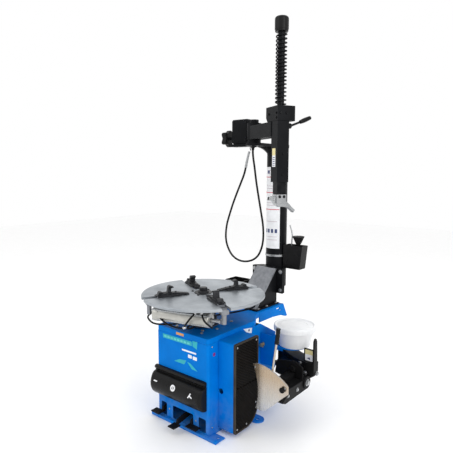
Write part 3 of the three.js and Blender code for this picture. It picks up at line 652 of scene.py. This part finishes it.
# ---- side pad
def pad_outline(inset):
    front, back, bottom, top, r = -77 + inset, 100 - inset, 20 + inset, 446 - inset, 90 - inset
    soft = max(3, 8 - inset)
    return [(front + soft, bottom), *arc(back - r, bottom + r, r, 270, 360, 20),
        *arc(back - soft, top - soft, soft, 0, 90, 4), *arc(front + soft, top - soft, soft, 90, 180, 4),
        *arc(front + soft, bottom + soft, soft, 180, 265, 4)]


def side_pad():
    opening = prism(arc(178, 206, 13, 0, 348, 23), -90, -60, "xz")
    piece("pad_box_finished", prism(pad_outline(0), 161.3, 250.6, "yz"), BLUE, bevel=2.5, steps=3,
        stands_for=["side_pad_box"], cuts=[prism(pad_outline(5), 150, 246, "yz"), opening])
    floor, top = 254, 262.2
    ribs = [prism([(-90, z + 50), (110, z - 64), (110, z - 58), (-90, z + 56)], floor, top, "yz")
        for z in range(184, 626, 13)]
    half_up = prism([(-70, 236), (92, 236), (92, 437), (-70, 437)], 250, 275, "yz")
    piece("pad_ribs_upper", merge(*ribs), PAD_DARK, bevel=1.2, keep=half_up)
    lower = [prism([(y, 20), (y + 6.5, 20), (y + 176.5, 240), (y + 170, 240)], floor, top, "yz")
        for y in range(-260, 104, 14)]
    low_clip = prism([(p, min(q, 232)) for p, q in pad_outline(9)], 250, 275, "yz")
    piece("pad_ribs_lower", merge(*lower), PAD_DARK, bevel=1.2, keep=low_clip)
    plate = prism(pad_outline(0), 251, 263, "yz")
    well = prism(pad_outline(7), floor, 270, "yz")
    piece("pad_floor", prism(pad_outline(7.2), 253.8, 254.6, "yz"), PAD_DARK)
    stand_in("bead_pad", plate, RUBBER, bevel=1.6, steps=3, cuts=[well])
    heads = [screw((261.4, y, z), TO_RIGHT, 4.5) for y, z in ((-60, 428), (83, 428), (-60, 40), (10, 40),
        (83, 120))]
    piece("pad_screws", merge(*heads), STEEL)


# ---- pedals and their guard
def guard():
    """A moulded cover: one section swept across, with its ends rounded into the panel."""
    section = [(-146.4, 266), (-158, 263.5), (-164, 258), (-163, 251), (-156, 245), (-155, 239), (-170, 235),
        (-182, 226), (-190, 212), (-195.5, 196), (-197, 178), (-194, 162), (-187, 147), (-176, 134),
        (-163, 126), (-146.4, 126)]
    smooth = smooth_outline(section)
    low, high, r, back, mid = -183, 152, 17, -146.4, 192
    stations = [r * (1 - math.cos(math.radians(a))) for a in (0, 18, 36, 54, 72, 90)]
    places = [(low + s, s) for s in stations] + [(high - s, s) for s in reversed(stations)]
    rings = []
    for x, s in places:
        k = 0.7 + 0.3 * math.sqrt(max(0.0, 1 - (1 - s / r) ** 2))
        rings.append([(x, back + (y - back) * k, mid + (z - mid) * (0.88 + 0.12 * k)) for y, z in smooth])
    stand_in("pedal_guard", loft(rings), PLASTIC, bevel=1.2, sharp=44)
    face = facing((0, -1, 0.34), (0, -193.9, 203))
    ring = pipe(15, 8, -0.6, 1.0, sides=40)
    slash = prism([(-2, -9), (2, -9), (2, 9), (-2, 9)], -0.6, 1.0)
    dash = prism([(-13, -3), (9, -3), (13, 2), (-9, 3)], -0.6, 1.6)
    hook = merge(prism([(-12, -11), (-7, -12), (5, 10), (0, 12)], -0.6, 1.2),
        prism([(-2, -4), (13, -9), (14, -5), (0, 1)], -0.6, 1.2))
    marks = [placed(mark, Matrix.Translation(at) @ face) for mark, at in
        ((merge(ring, slash), (-20, 0, 0)), (dash, (-138, -0.7, 2)), (hook, (92, -1, -3)))]
    piece("guard_marks", merge(*marks), LABEL_WHITE)


def pedals():
    for node, x0, x1, y0, y1 in (("pedal_turn", -180, -126, -190, -152), ("pedal_clamp", -10, 31, -238, -194),
                                 ("pedal_bead", 53, 118, -186, -152)):
        bevelled(node, BLACK, 1.4)
        ridges = [prism([(x, y0 + 4), (x + 2.4, y0 + 4), (x + 2.4, y1 - 4), (x, y1 - 4)], 38.6, 40.2)
            for x in range(x0 + 5, x1 - 5, 6)]
        piece(node + "_ridges", merge(*ridges), BLACK, body_of_node(node), bevel=0.5)
    bevelled("pedal_shaft", STEEL, 0.5)
    bevelled("valve_block", ALUMINIUM, 1.0)
    guard()


# ---- drive
def drive():
    for node in ("gearbox", "gearbox_pulley", "motor_pulley"):
        bevelled(node, CAST, 1.5)
    bevelled("motor", DARK_STEEL, 1.5)
    bevelled("drive_belt", HOSE_RUBBER, 0.6)


# ---- turntable
def turntable():
    slots = [placed(block((80, -20, 600), (330, 20, 640)), Matrix.Rotation(math.radians(TURN + a), 4, "Z"))
        for a in (45, 135, 225, 315)]
    under = TABLE_TOP - 12
    disc = lathe([(1, under), (70, under), (TABLE_RADIUS, under), (TABLE_RADIUS, TABLE_TOP - 3),
        (TABLE_RADIUS - 3, TABLE_TOP), (70, TABLE_TOP), (1, TABLE_TOP)], sides=180)
    stand_in("turntable_disc", disc, TABLE_STEEL, TABLE, bevel=1.0, cuts=slots)
    cap = lathe([(27, 627), (27, 633), (25, 636), (20, 640), (20, 650), (17, 654.5), (9, 655)], sides=48)
    rim = pipe(44, 27, 627.8, 630.5)
    piece("table_cap", merge(cap, rim), JAW_STEEL, TABLE)
    heads = [bolt((*polar(58, math.radians(TURN + 90 * i)), 628), UP, 5) for i in range(4)]
    piece("table_bolts", merge(*heads), JAW_STEEL, TABLE)
    shaft = [(20, 396), (25, 396), (25, 440), (44, 464), (44, 472), (74, 474), (78, 476), (78, 480),
        (74, 482), (66, 484), (66, 496), (64, 497), (64, 499), (66, 500), (66, 508), (50, 516), (50, 598),
        (80, 606), (82, 608), (82, 615.6)]
    stand_in("turntable_shaft", lathe(shaft), HUB, TABLE)
    for index, angle in enumerate((225, 315, 45, 135)):
        jaw(index, angle)
    for name, flip in (("a", 0), ("b", 180)):
        clamp_cylinder(name, flip)
        air_lines(name, flip)


def jaw(index, angle):
    t = TABLE_TOP
    teeth = [(118 - 6 * i - dx, t + z - 0.9 * i) for i in range(7) for dx, z in ((0, 14), (2, 10.6))]
    steps = [(x - 5 * i, t + z) for i in range(4) for x, z in ((203, 15.5), (200.5, 19))]
    outline = [(76, t + 0.4), (238, t + 0.4), (241, t + 8), (228, t + 11), (224, t + 24), (214, t + 25),
        (208, t + 23), *steps, (182, t + 20), (179, t + 43), (174, t + 49.5), (166, t + 50), (152, t + 44),
        (153, t + 41), (165, t + 38), (166, t + 22), (160, t + 18), *teeth, (76, t + 7)]
    rack = prism(outline, -14, 14, "xz")
    low = [(112, t + 0.4), (232, t + 0.4), (226, t + 9), (118, t + 9)]
    high = [(150, t + 8), (224, t + 8), (214, t + 17), (166, t + 17)]
    flanks = [prism(points, a, b, "xz") for points, a, b in
        ((low, -24, -13), (low, 13, 24), (high, -19, -13), (high, 13, 19))]
    name, body = f"jaw_{index + 1}", "jaw_" + "abcd"[index]
    upper = on_table(merge(rack, *flanks), angle)
    stand_in(name, upper, JAW_STEEL, body, bevel=1.1)
    guide = merge(block((130, -18, 606), (236, 18, t + 5)), block((130, -27, 604), (240, 27, 615.6)),
        block((196, -18, 596), (284, 18, 615.6)), lathe([(11, 550), (11, 602)], (268.7, 0), sides=24))
    piece(name + "_slide", on_table(guide, angle), ZINC, body, bevel=1.5)
    head = bolt((140, 0, t + 15.5), UP, 5.5, washer=False)
    piece(name + "_bolt", on_table(head, angle), JAW_STEEL, body)


def clamp_cylinder(name, flip):
    """A clamping cylinder under the table; its axis is along X before the table's turn."""
    axis = (-190, 560)
    tube = [(9, -173), (10, -171), (10, -157), (33, -157), (35, -154), (35, -131), (33, -129), (32, -128),
        (32, 104), (34, 106), (35, 108), (35, 124), (33, 127), (12, 127), (12, 121), (9.2, 121)]
    barrel = lathe(tube, axis, "x", 72)
    lugs = [lathe([(5, -160), (5, -157), (5, 130), (4, 131)], polar(31, math.radians(45 + 90 * i), axis),
        "x", 12) for i in range(4)]
    port = [lathe([(6, 588), (6, 598), (4.5, 599), (4.5, 603)], (x, -190), sides=20) for x in (-143, 107)]
    body = BARREL_BODY[name]
    stand_in(f"clamp_barrel_{name}", on_table(barrel, flip), ALUMINIUM, body, sharp=30)
    piece(f"clamp_ties_{name}", on_table(merge(*lugs), flip), STEEL, body)
    piece(f"clamp_ports_{name}", on_table(merge(*port), flip), DARK_STEEL, body)
    rod = lathe([(8, 30), (8.5, 31), (8.5, 169), (12, 170), (12, 175), (10, 176)], axis, "x", 40)
    stand_in(f"clamp_rod_{name}", on_table(rod, flip), STEEL, ROD_BODY[name])


def air_lines(name, flip):
    """Four air lines looping from the hub to the cylinder's ends."""
    routes = [
        [(-70, -222, 590), (-100, -236, 566), (-136, -238, 534), (-104, -236, 512), (-60, -180, 500),
         (-10, -78, 496)],
        [(-82, -208, 590), (-74, -232, 566), (-14, -238, 530), (40, -190, 505), (10, -82, 494)],
        [(150, -216, 604), (132, -238, 574), (103, -234, 536), (80, -170, 508), (30, -96, 490),
         (18, -72, 494)],
        [(178, -206, 604), (202, -216, 580), (206, -180, 545), (140, -100, 508), (60, -62, 494)],
    ]
    lines = [sweep(curve_through(route, 10), 4.2, 12) for route in routes]
    whole = turned_about(merge(*lines), flip)
    body = BARREL_BODY[name]
    hoses = stand_in(f"air_lines_{name}", whole, HOSE_RUBBER, None, sharp=60)
    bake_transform(hoses)
    ends = [lathe([(6, 600), (6, 612), (4, 615)], (x, y), sides=20) for x, y in ((150, -216), (178, -206))]
    ends.append(placed(lathe([(6, -7), (7.5, -5), (7.5, 5), (6, 7)], sides=24),
        facing((0.3, 1, 0.2), (103, -236, 534))))
    piece(f"air_unions_{name}", turned_about(merge(*ends), flip), STEEL, body)


# ---- column and foot
def column_and_foot():
    slope = [(348, 474), (356, 474), (541, 664), (541, 671), (531, 671)]
    piece("foot_slope", prism(slope, -66, 66, "yz"), ZINC, bevel=1.2, stands_for=["column_foot"])
    cheek = [(357, 475.5), (552, 475.5), (552, 668), (541, 661)]
    cheeks = [prism(cheek, x, x + 6, "yz") for x in (-62, 56)]
    trim = [prism([(372, 481), (546, 481), (546, 486), (380, 486)], x, x + 1.5, "yz") for x in (-63.5, 62)]
    back = block((-104, 544, 529), (104, 553, 671))
    base = block((-78, 336.5, 467.4), (78, 553, 475.4))
    piece("foot_frame", merge(base, *cheeks, *trim, back), BLACK, bevel=1.2)
    heads = [bolt((x, y, 475.4), UP, 7) for x in (-70, 70) for y in (362, 440, 530)]
    heads += [bolt((x, 544, z), TO_FRONT, 9) for x in (-90, 90) for z in (547, 653)]
    piece("foot_bolts", merge(*heads), STEEL, bevel=0.3, steps=1)
    wide, deep, cut = 104, 606, 38
    flange = [(-wide, 553.4), (wide, 553.4), (wide, deep - cut), (wide - cut, deep), (cut - wide, deep),
        (-wide, deep - cut)]
    piece("column_flange", prism(flange, 529, 671), BLACK, bevel=2.5, steps=3)
    tube = pipe(COLUMN_RADIUS, COLUMN_RADIUS - 5, 550, COLUMN_TOP, (0, COLUMN_Y), sides=128)
    piece("column_tube", tube, BLACK, stands_for=["column"])
    ring = pipe(64, 60, 728, 740, (0, COLUMN_Y), sides=128)
    piece("column_ring", ring, STEEL, bevel=1.0)
    column_label()


def column_patch(part, z0, z1, start, end, lift, finish):
    """A thin part of the column's label, between two heights and two angles from -Y, in degrees."""
    steps = max(2, int(abs(end - start) / 3))
    r = COLUMN_RADIUS + lift
    outside = arc(0, COLUMN_Y, r, start - 90, end - 90, steps)
    inside = arc(0, COLUMN_Y, r - 0.4, end - 90, start - 90, steps)
    piece("column_label" + part, prism(outside + inside, z0, z1), finish)


def column_label():
    column_patch("", 775, 1242, -51, 51, 0.35, LABEL_WHITE)
    for i, z in enumerate((1183, 1095, 999)):
        column_patch(f"_line_{i}", z, z + 4, -44, 48, 0.7, LABEL_RED)
        column_patch(f"_tip_{i}", z - 4, z + 8, -48, -40, 0.9, LABEL_RED)
        column_patch(f"_text_{i}", z + 24, z + 27, -40, 36, 0.7, LABEL_FAINT)
        column_patch(f"_note_{i}", z + 38, z + 41, -40, 16, 0.7, LABEL_FAINT)
    column_patch("_sign", 1204, 1224, -30, -12, 0.7, LABEL_NAVY)
    for i, a in enumerate((-40, -20, 2, 24)):
        column_patch(f"_mark_{i}", 866, 888, a, a + 13, 0.7, LABEL_NAVY)
    for i, z in enumerate((824, 842, 930)):
        column_patch(f"_row_{i}", z, z + 3, -40, 36, 0.7, LABEL_FAINT)


def star(centre, radius, lobes, count=5, steps=60):
    """A wavy outline: a circle whose radius swells count times."""
    angles = [(2 * math.pi * i / steps, count * 2 * math.pi * i / steps) for i in range(steps)]
    return [polar(radius + lobes * math.cos(wave), a, centre) for a, wave in angles]


def swing_top():
    bevelled("swing_bracket", BLACK, 1.6)
    bevelled("hinge_pin", DARK_STEEL, 1.5)
    stand_in("stop_box", prism(rounded(-160, -45, 1368, 1500, 12), 412, 452, "xz"), BLACK, bevel=4, steps=4)
    cover = prism(rounded(-150, -55, 1378, 1490, 8), 409.5, 413, "xz")
    piece("stop_box_cover", cover, BLACK, bevel=1.2)
    heads = [screw((x, 409.5, z), TO_FRONT, 4.5) for x in (-142, -63) for z in (1386, 1482)]
    heads += [bolt((-60, 409.5, 1400), TO_FRONT, 5)]
    piece("stop_box_screws", merge(*heads), DARK_STEEL)
    knob = prism(star(KNOB_AXIS, 41.5, 7.5), -219.5, -188.5, "yz")
    shaft = lathe([(10, -190), (8, -184), (8, -162)], KNOB_AXIS, "x", 32)
    cap = lathe([(14, -220), (13, -218)], KNOB_AXIS, "x", 32)
    stand_in("stop_knob", knob, PLASTIC, "knob", bevel=6, steps=4)
    piece("stop_knob_shaft", merge(shaft, cap), DARK_STEEL, "knob", bevel=0.6)


# ---- arm, tool post and spring
def tool_post():
    bevelled("swing_arm", BLACK, 2.2, 3)
    bevelled("head_block", BLACK, 2.0, 3)
    heads = [bolt((REACH + dx, -POST_FACE, z), TO_FRONT, 5.5) for dx, z in ((-60, 1492), (14, 1492),
        (14, 1470))]
    heads += [bolt((REACH + POST_FACE, dy, 1492), TO_RIGHT, 5.5) for dy in (-16, 16)]
    heads += [bolt((REACH + POST_FACE, 0, z), TO_RIGHT, 5) for z in (1300, 1200)]
    piece("arm_bolts", on_arm(merge(*heads)), DARK_STEEL, ARM, bevel=0.3, steps=1)
    sticker = card(REACH - 17, REACH + 13, 1238, 1326, -32.2, -31.4)
    piece("post_label", on_arm(sticker), LABEL_WHITE, ARM)
    top = card(REACH - 17, REACH + 13, 1292, 1326, -32.6, -31.9)
    piece("post_label_top", on_arm(top), LABEL_YELLOW, ARM)
    lines = [card(REACH - 12, REACH + 8, z, z + 3.5, -32.6, -31.9, r=1) for z in range(1244, 1288, 9)]
    piece("post_label_lines", on_arm(merge(*lines)), LABEL_NAVY, ARM)
    square = block((REACH - 24, -24, 1106), (REACH + 24, 24, 1520))
    piece("tool_bar", on_arm(square), DARK_STEEL, "tool", bevel=2.5, steps=3, stands_for=["tool_shaft"])
    rod = lathe([(17, 1519), (17, 1867)], (REACH, 0), sides=48)
    piece("tool_rod", on_arm(rod), DARK_STEEL, "tool")
    spring()
    spring_cap()
    lock_lever()
    mount_head()


def spring():
    """A round-wire coil, closed at both ends."""
    low, high, mean, wire, turns = 1532.0, 1862.2, 24.0, 4.0, 18.5
    steps, path = int(turns * 22), []
    for i in range(steps + 1):
        t = i / steps
        rise = t + 0.012 * math.sin(2 * math.pi * t)
        a = 2 * math.pi * turns * t
        path.append((*polar(mean, a, (REACH, 0)), low + (high - low) * rise))
    coil = stand_in("return_spring", on_arm(sweep(path, wire, 8)), DARK_STEEL, ARM, sharp=70)
    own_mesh(coil)


def spring_cap():
    profile = [(24, 1866.9), (30, 1867), (31.5, 1870), (31.5, 1876), (33, 1877.5), (33, 1925)]
    profile += [(p, q) for p, q in arc(21, 1925, 12, 0, 85, 8)]
    body = on_arm(lathe(profile, (REACH, 0), sides=72))
    piece("spring_cap", body, PLASTIC, "tool")
    ribs = []
    for a in around(24):
        ribs.append(lathe([(0.9, 1879), (1.2, 1881), (1.2, 1921), (0.8, 1924)], polar(32.1, a, (REACH, 0)),
            sides=8))
    piece("spring_cap_ribs", on_arm(merge(*ribs)), PLASTIC, "tool", sharp=60)


def lock_lever():
    x = REACH + 8
    boss = lathe([(11, 32), (13, 34), (13, 52), (11, 54)], (x, 1434), "y", 40)
    stem = sweep(curve_through([(x, 50, 1434), (x, 100, 1453), (x, 150, 1473)], 8), 5.6, 16)
    path = curve_through([(x, 104, 1454.5), (x, 130, 1465), (x, 164, 1479)], 8)
    radii = [9 + 2.2 * math.sin(math.pi * min(1, i / (len(path) - 1))) for i in range(len(path))]
    stand_in("lock_lever", on_arm(merge(boss, stem)), DARK_STEEL, "lever", bevel=0.8)
    piece("lock_grip", on_arm(sweep(path, radii, 24)), PLASTIC, "lever", bevel=1.5, sharp=50)


def mount_head():
    """The bright cast head: clamp, hooked duck bill, fork and roller."""
    half, roller_axis = 27, (-52, 1085)
    clamp = block((REACH - half, -half, 1062), (REACH + half, half, 1105.6))
    piece("mount_clamp", on_arm(clamp), STEEL, "tool", bevel=4, steps=3, stands_for=["mount_head"])
    upper = [(-30, 1096), (-6, 1090), (22, 1078), (46, 1060), (66, 1036), (81, 1021)]
    under = [(76, 1014), (60, 1026), (42, 1038), (14, 1043), (-12, 1045), (-28, 1058), (-38, 1080)]
    outline = smooth_outline(upper + under)
    rings = []
    for x, k in ((-15, 0.82), (-13, 0.93), (-8, 1.0), (8, 1.0), (13, 0.93), (15, 0.82)):
        rings.append([(REACH + x, 18 + (y - 18) * (0.97 + 0.03 * k), 1058 + (z - 1058) * k)
            for y, z in outline])
    piece("mount_bill", on_arm(loft(rings)), STEEL, "tool", bevel=0.8, sharp=44)
    ears = [prism([(-62, 1076), (-30, 1074), (-28, 1096), (-58, 1094)], REACH + a, REACH + a + 4, "yz")
        for a in (-10, 6)]
    roller = lathe([(7.5, REACH - 6), (9, REACH - 4), (9, REACH + 4), (7.5, REACH + 6)], roller_axis, "x", 32)
    pin = lathe([(3.5, REACH - 12), (3.5, REACH + 12)], roller_axis, "x", 16)
    piece("mount_fork", on_arm(merge(*ears, pin)), STEEL, "tool", bevel=1.0)
    piece("mount_roller", on_arm(roller), PLASTIC, "tool")
    heads = [bolt((REACH - half, y, z), TO_LEFT, 5.5) for y in (-12, 12) for z in (1074, 1094)]
    heads += [bolt((REACH + half, y, 1094), TO_RIGHT, 5.5) for y in (-12, 12)]
    piece("mount_bolts", on_arm(merge(*heads)), DARK_STEEL, "tool")


# ---- bead breaker
def bead_breaker():
    bevelled("bead_bracket", BLACK, 1.8)
    bevelled("bead_arm", IRON_BLACK, 2.6, 2)
    for i, z in enumerate((212, 244, 276)):
        rib = prism([(262, 330), (342, 286), (420, 264), (420, 258), (340, 279), (262, 323)], z, z + 8)
        piece(f"bead_arm_rib_{i}", rib, IRON_BLACK, "breaker", bevel=1.5)
    web = [(318, 250), (398, 238), (398, 276), (330, 292), (318, 288)]
    piece("bead_arm_web", prism(web, 240, 246), IRON_BLACK, "breaker", bevel=1.0)
    cheek = [(290, 238), (366, 224), (446, 241), (446, 300), (404, 322), (302, 306)]
    piece("bead_arm_cheek", prism(cheek, 200, 206, "xz"), IRON_BLACK, "breaker", bevel=1.5)
    piece("bead_arm_cheek_boss", lathe([(15, 190), (16, 191), (16, 200)], (392, 282), "y", 32), IRON_BLACK,
        "breaker")
    heads = [bolt((448.4, y, 214), TO_RIGHT, 7) for y in (70, 150)]
    heads += [bolt((454.2, 232, 220), TO_RIGHT, 12), bolt((470.5, 292, 250), TO_RIGHT, 9)]
    heads += [bolt((424, 262, 250), TO_FRONT, 8), bolt((390, 270, 290), TO_FRONT, 7)]
    piece("bead_arm_bolts", merge(*heads), STEEL, "breaker", bevel=0.4, steps=1)
    plate = card(411, 459, 306, 360, 280.2, 281.4)
    piece("arm_label", plate, LABEL_WHITE, "breaker")
    piece("arm_label_band", card(411, 459, 338, 360, 279.8, 280.4), LABEL_YELLOW, "breaker")
    piece("arm_label_mark", prism([(420, 318), (440, 313), (436, 324)], 279.8, 280.4, "xz"), LABEL_NAVY,
        "breaker")
    blade()
    bevelled("bead_cylinder", ALUMINIUM, 2.0)
    rod = lathe([(10, 1), (12, 2), (12, 292)], RAM_AXIS, "x", 40)
    stand_in("bead_rod", rod, DARK_STEEL, "ram_rod")
    hexagon = lathe([(17, 290), (18, 292), (18, 303), (16, 305)], RAM_AXIS, "x", 6)
    piece("rod_nut", hexagon, RUSTY, "ram_rod", bevel=0.8)


def blade():
    """The spade: a flat plate with a bright rolled edge."""
    fan = [(288, 338), (304, 345), *bezier((304, 345), (370, 350), (450, 312), (478, 282), 24), (479, 246),
        *bezier((479, 246), (430, 205), (400, 165), (356, 132), 24), (330, 124), (302, 128),
        *bezier((302, 128), (324, 180), (326, 250), (288, 338), 24)]
    pin_hole = lathe([(8.8, 0), (8.8, 60)], BLADE_PIN, "y", 32)
    stand_in("bead_blade", prism(fan, 20.4, 26, "xz"), BLADE_STEEL, "blade", bevel=1.8, steps=3,
        cuts=[pin_hole])
    bend = bezier((304, 344.5), (370, 349), (448, 311), (476, 282), 24)
    top_edge = [(x, 21.6, z) for x, z in ((290, 338), (304, 344.5), *bend)]
    piece("blade_edge", sweep(top_edge, 1.6, 10), STEEL, "blade", sharp=60)
    heads = [screw((x, 20.4, z), TO_FRONT, 4.5) for x, z in ((300, 325), (316, 136), (462, 270))]
    piece("blade_screws", merge(*heads), STEEL, "blade")
    rod = sweep(curve_through([(386, 34, 312), (392, 36, 368), (403, 40, 460)], 8), 5.0, 20)
    lug = block((378, 26.4, 300), (394, 36, 322))
    stand_in("bead_handle", merge(rod, lug), ROD_STEEL, "blade", bevel=0.6)
    path = curve_through([(402.5, 40, 453), (406, 41, 480), (410, 42, 524)], 10)
    radii = [10.8 - 1.4 * abs(math.sin(math.pi * i / 4)) for i in range(len(path))]
    piece("bead_handle_grip", sweep(path, radii, 24), PLASTIC, "blade", bevel=1.2, sharp=60)


# ---- bucket and trays
def bucket():
    wall = [(78, 346.4), (80, 348), (82, 358), (96, 430), (97, 436), (94, 436), (93, 430), (77, 352)]
    stand_in("paste_bucket", lathe(wall, BUCKET_AT, sides=128), WHITE, "bucket")
    lid = [(98.4, 424.4), (104.5, 424.4), (105, 427), (105, 447), (103, 451), (99, 452), (95.5, 450.5),
        (92, 446.6), (88, 446), (70, 446.4), (69, 447.6), (67, 447.6), (66, 446.4), (6, 446.4)]
    under = lathe([(98.3, 420), (98.3, 436.4)], BUCKET_AT, sides=96)
    stand_in("bucket_lid", lathe(lid, BUCKET_AT, sides=128), WHITE, "lid", cuts=[under], sharp=30)
    ridges = []
    for a in around(48):
        x, y = polar(104.7, a, BUCKET_AT)
        ridges.append(lathe([(0.8, 427), (1.1, 429), (1.1, 444), (0.7, 446)], (x * 0.9996, y), sides=6))
    piece("lid_ridges", merge(*ridges), WHITE, "lid", sharp=60)


def trays():
    bevelled("tool_tray", PLASTIC, 2.0)
    bevelled("parts_tray", PLASTIC, 2.5)
    stem = [(8, 669.4), (9, 671), (9, 798), (12, 808), (15, 812)]
    piece("paste_brush_stem", lathe(stem, BRUSH_AT, sides=32), PLASTIC, "brush", stands_for=["paste_brush"])
    bristles = [lathe([(14, 806), (16, 812), (33, 849), (33.5, 851), (26, 847)], BRUSH_AT, sides=72)]
    for a in around(72):
        ends = [(*polar(r, a, BRUSH_AT), z) for r, z in ((15.5, 811), (32.9, 849.5))]
        bristles.append(sweep(ends, 0.9, 5))
    piece("paste_brush_bristles", merge(*bristles), HOSE_RUBBER, "brush", sharp=60)
    lever = curve_through([(98, 640, 690), (99, 640, 760), (102, 641, 820), (105, 641, 852), (98, 642, 882),
        (87, 642, 912)], 8)
    radii = [3.2 + 1.0 * math.sin(math.pi * i / (len(lever) - 1)) for i in range(len(lever))]
    piece("tyre_lever", sweep(lever, radii, 12), STEEL, bevel=0.5)


# ---- services
def services():
    body = block((-228.5, 138, 372), (-176.4, 242, 401))
    stand_in("air_unit", body, DARK_STEEL, bevel=4, steps=3)
    smoked = coating("smoked_bowl", "black_plastic", (0.09, 0.1, 0.11), (0.14, 0.15, 0.16), 0.16, bump=0.02)
    for i, y in enumerate((165, 215)):
        bowl = lathe([(10, 296), (18, 299), (21, 306), (21.8, 360), (20, 364), (22, 366), (22, 372)],
            (-205, y))
        piece(f"air_bowl_{i}", bowl, smoked, sharp=30)
    knob = lathe([(17, 401), (17, 408), (15, 410), (17, 412), (17, 426), (14, 430)], (-205, 165), sides=48)
    piece("regulator_knob", knob, PLASTIC)
    inlet = lathe([(12, 241), (12, 254), (7, 255), (7, 275), (5, 276)], (-205, 386), "y", 32)
    piece("air_inlet", inlet, STEEL, bevel=0.5)
    bevelled("cable_gland", PLASTIC, 0.8)


camera()
studio()
inflation_line()
cabinet()
cabinet_marks()
side_pad()
pedals()
drive()
turntable()
column_and_foot()
swing_top()
tool_post()
bead_breaker()
bucket()
trays()
services()
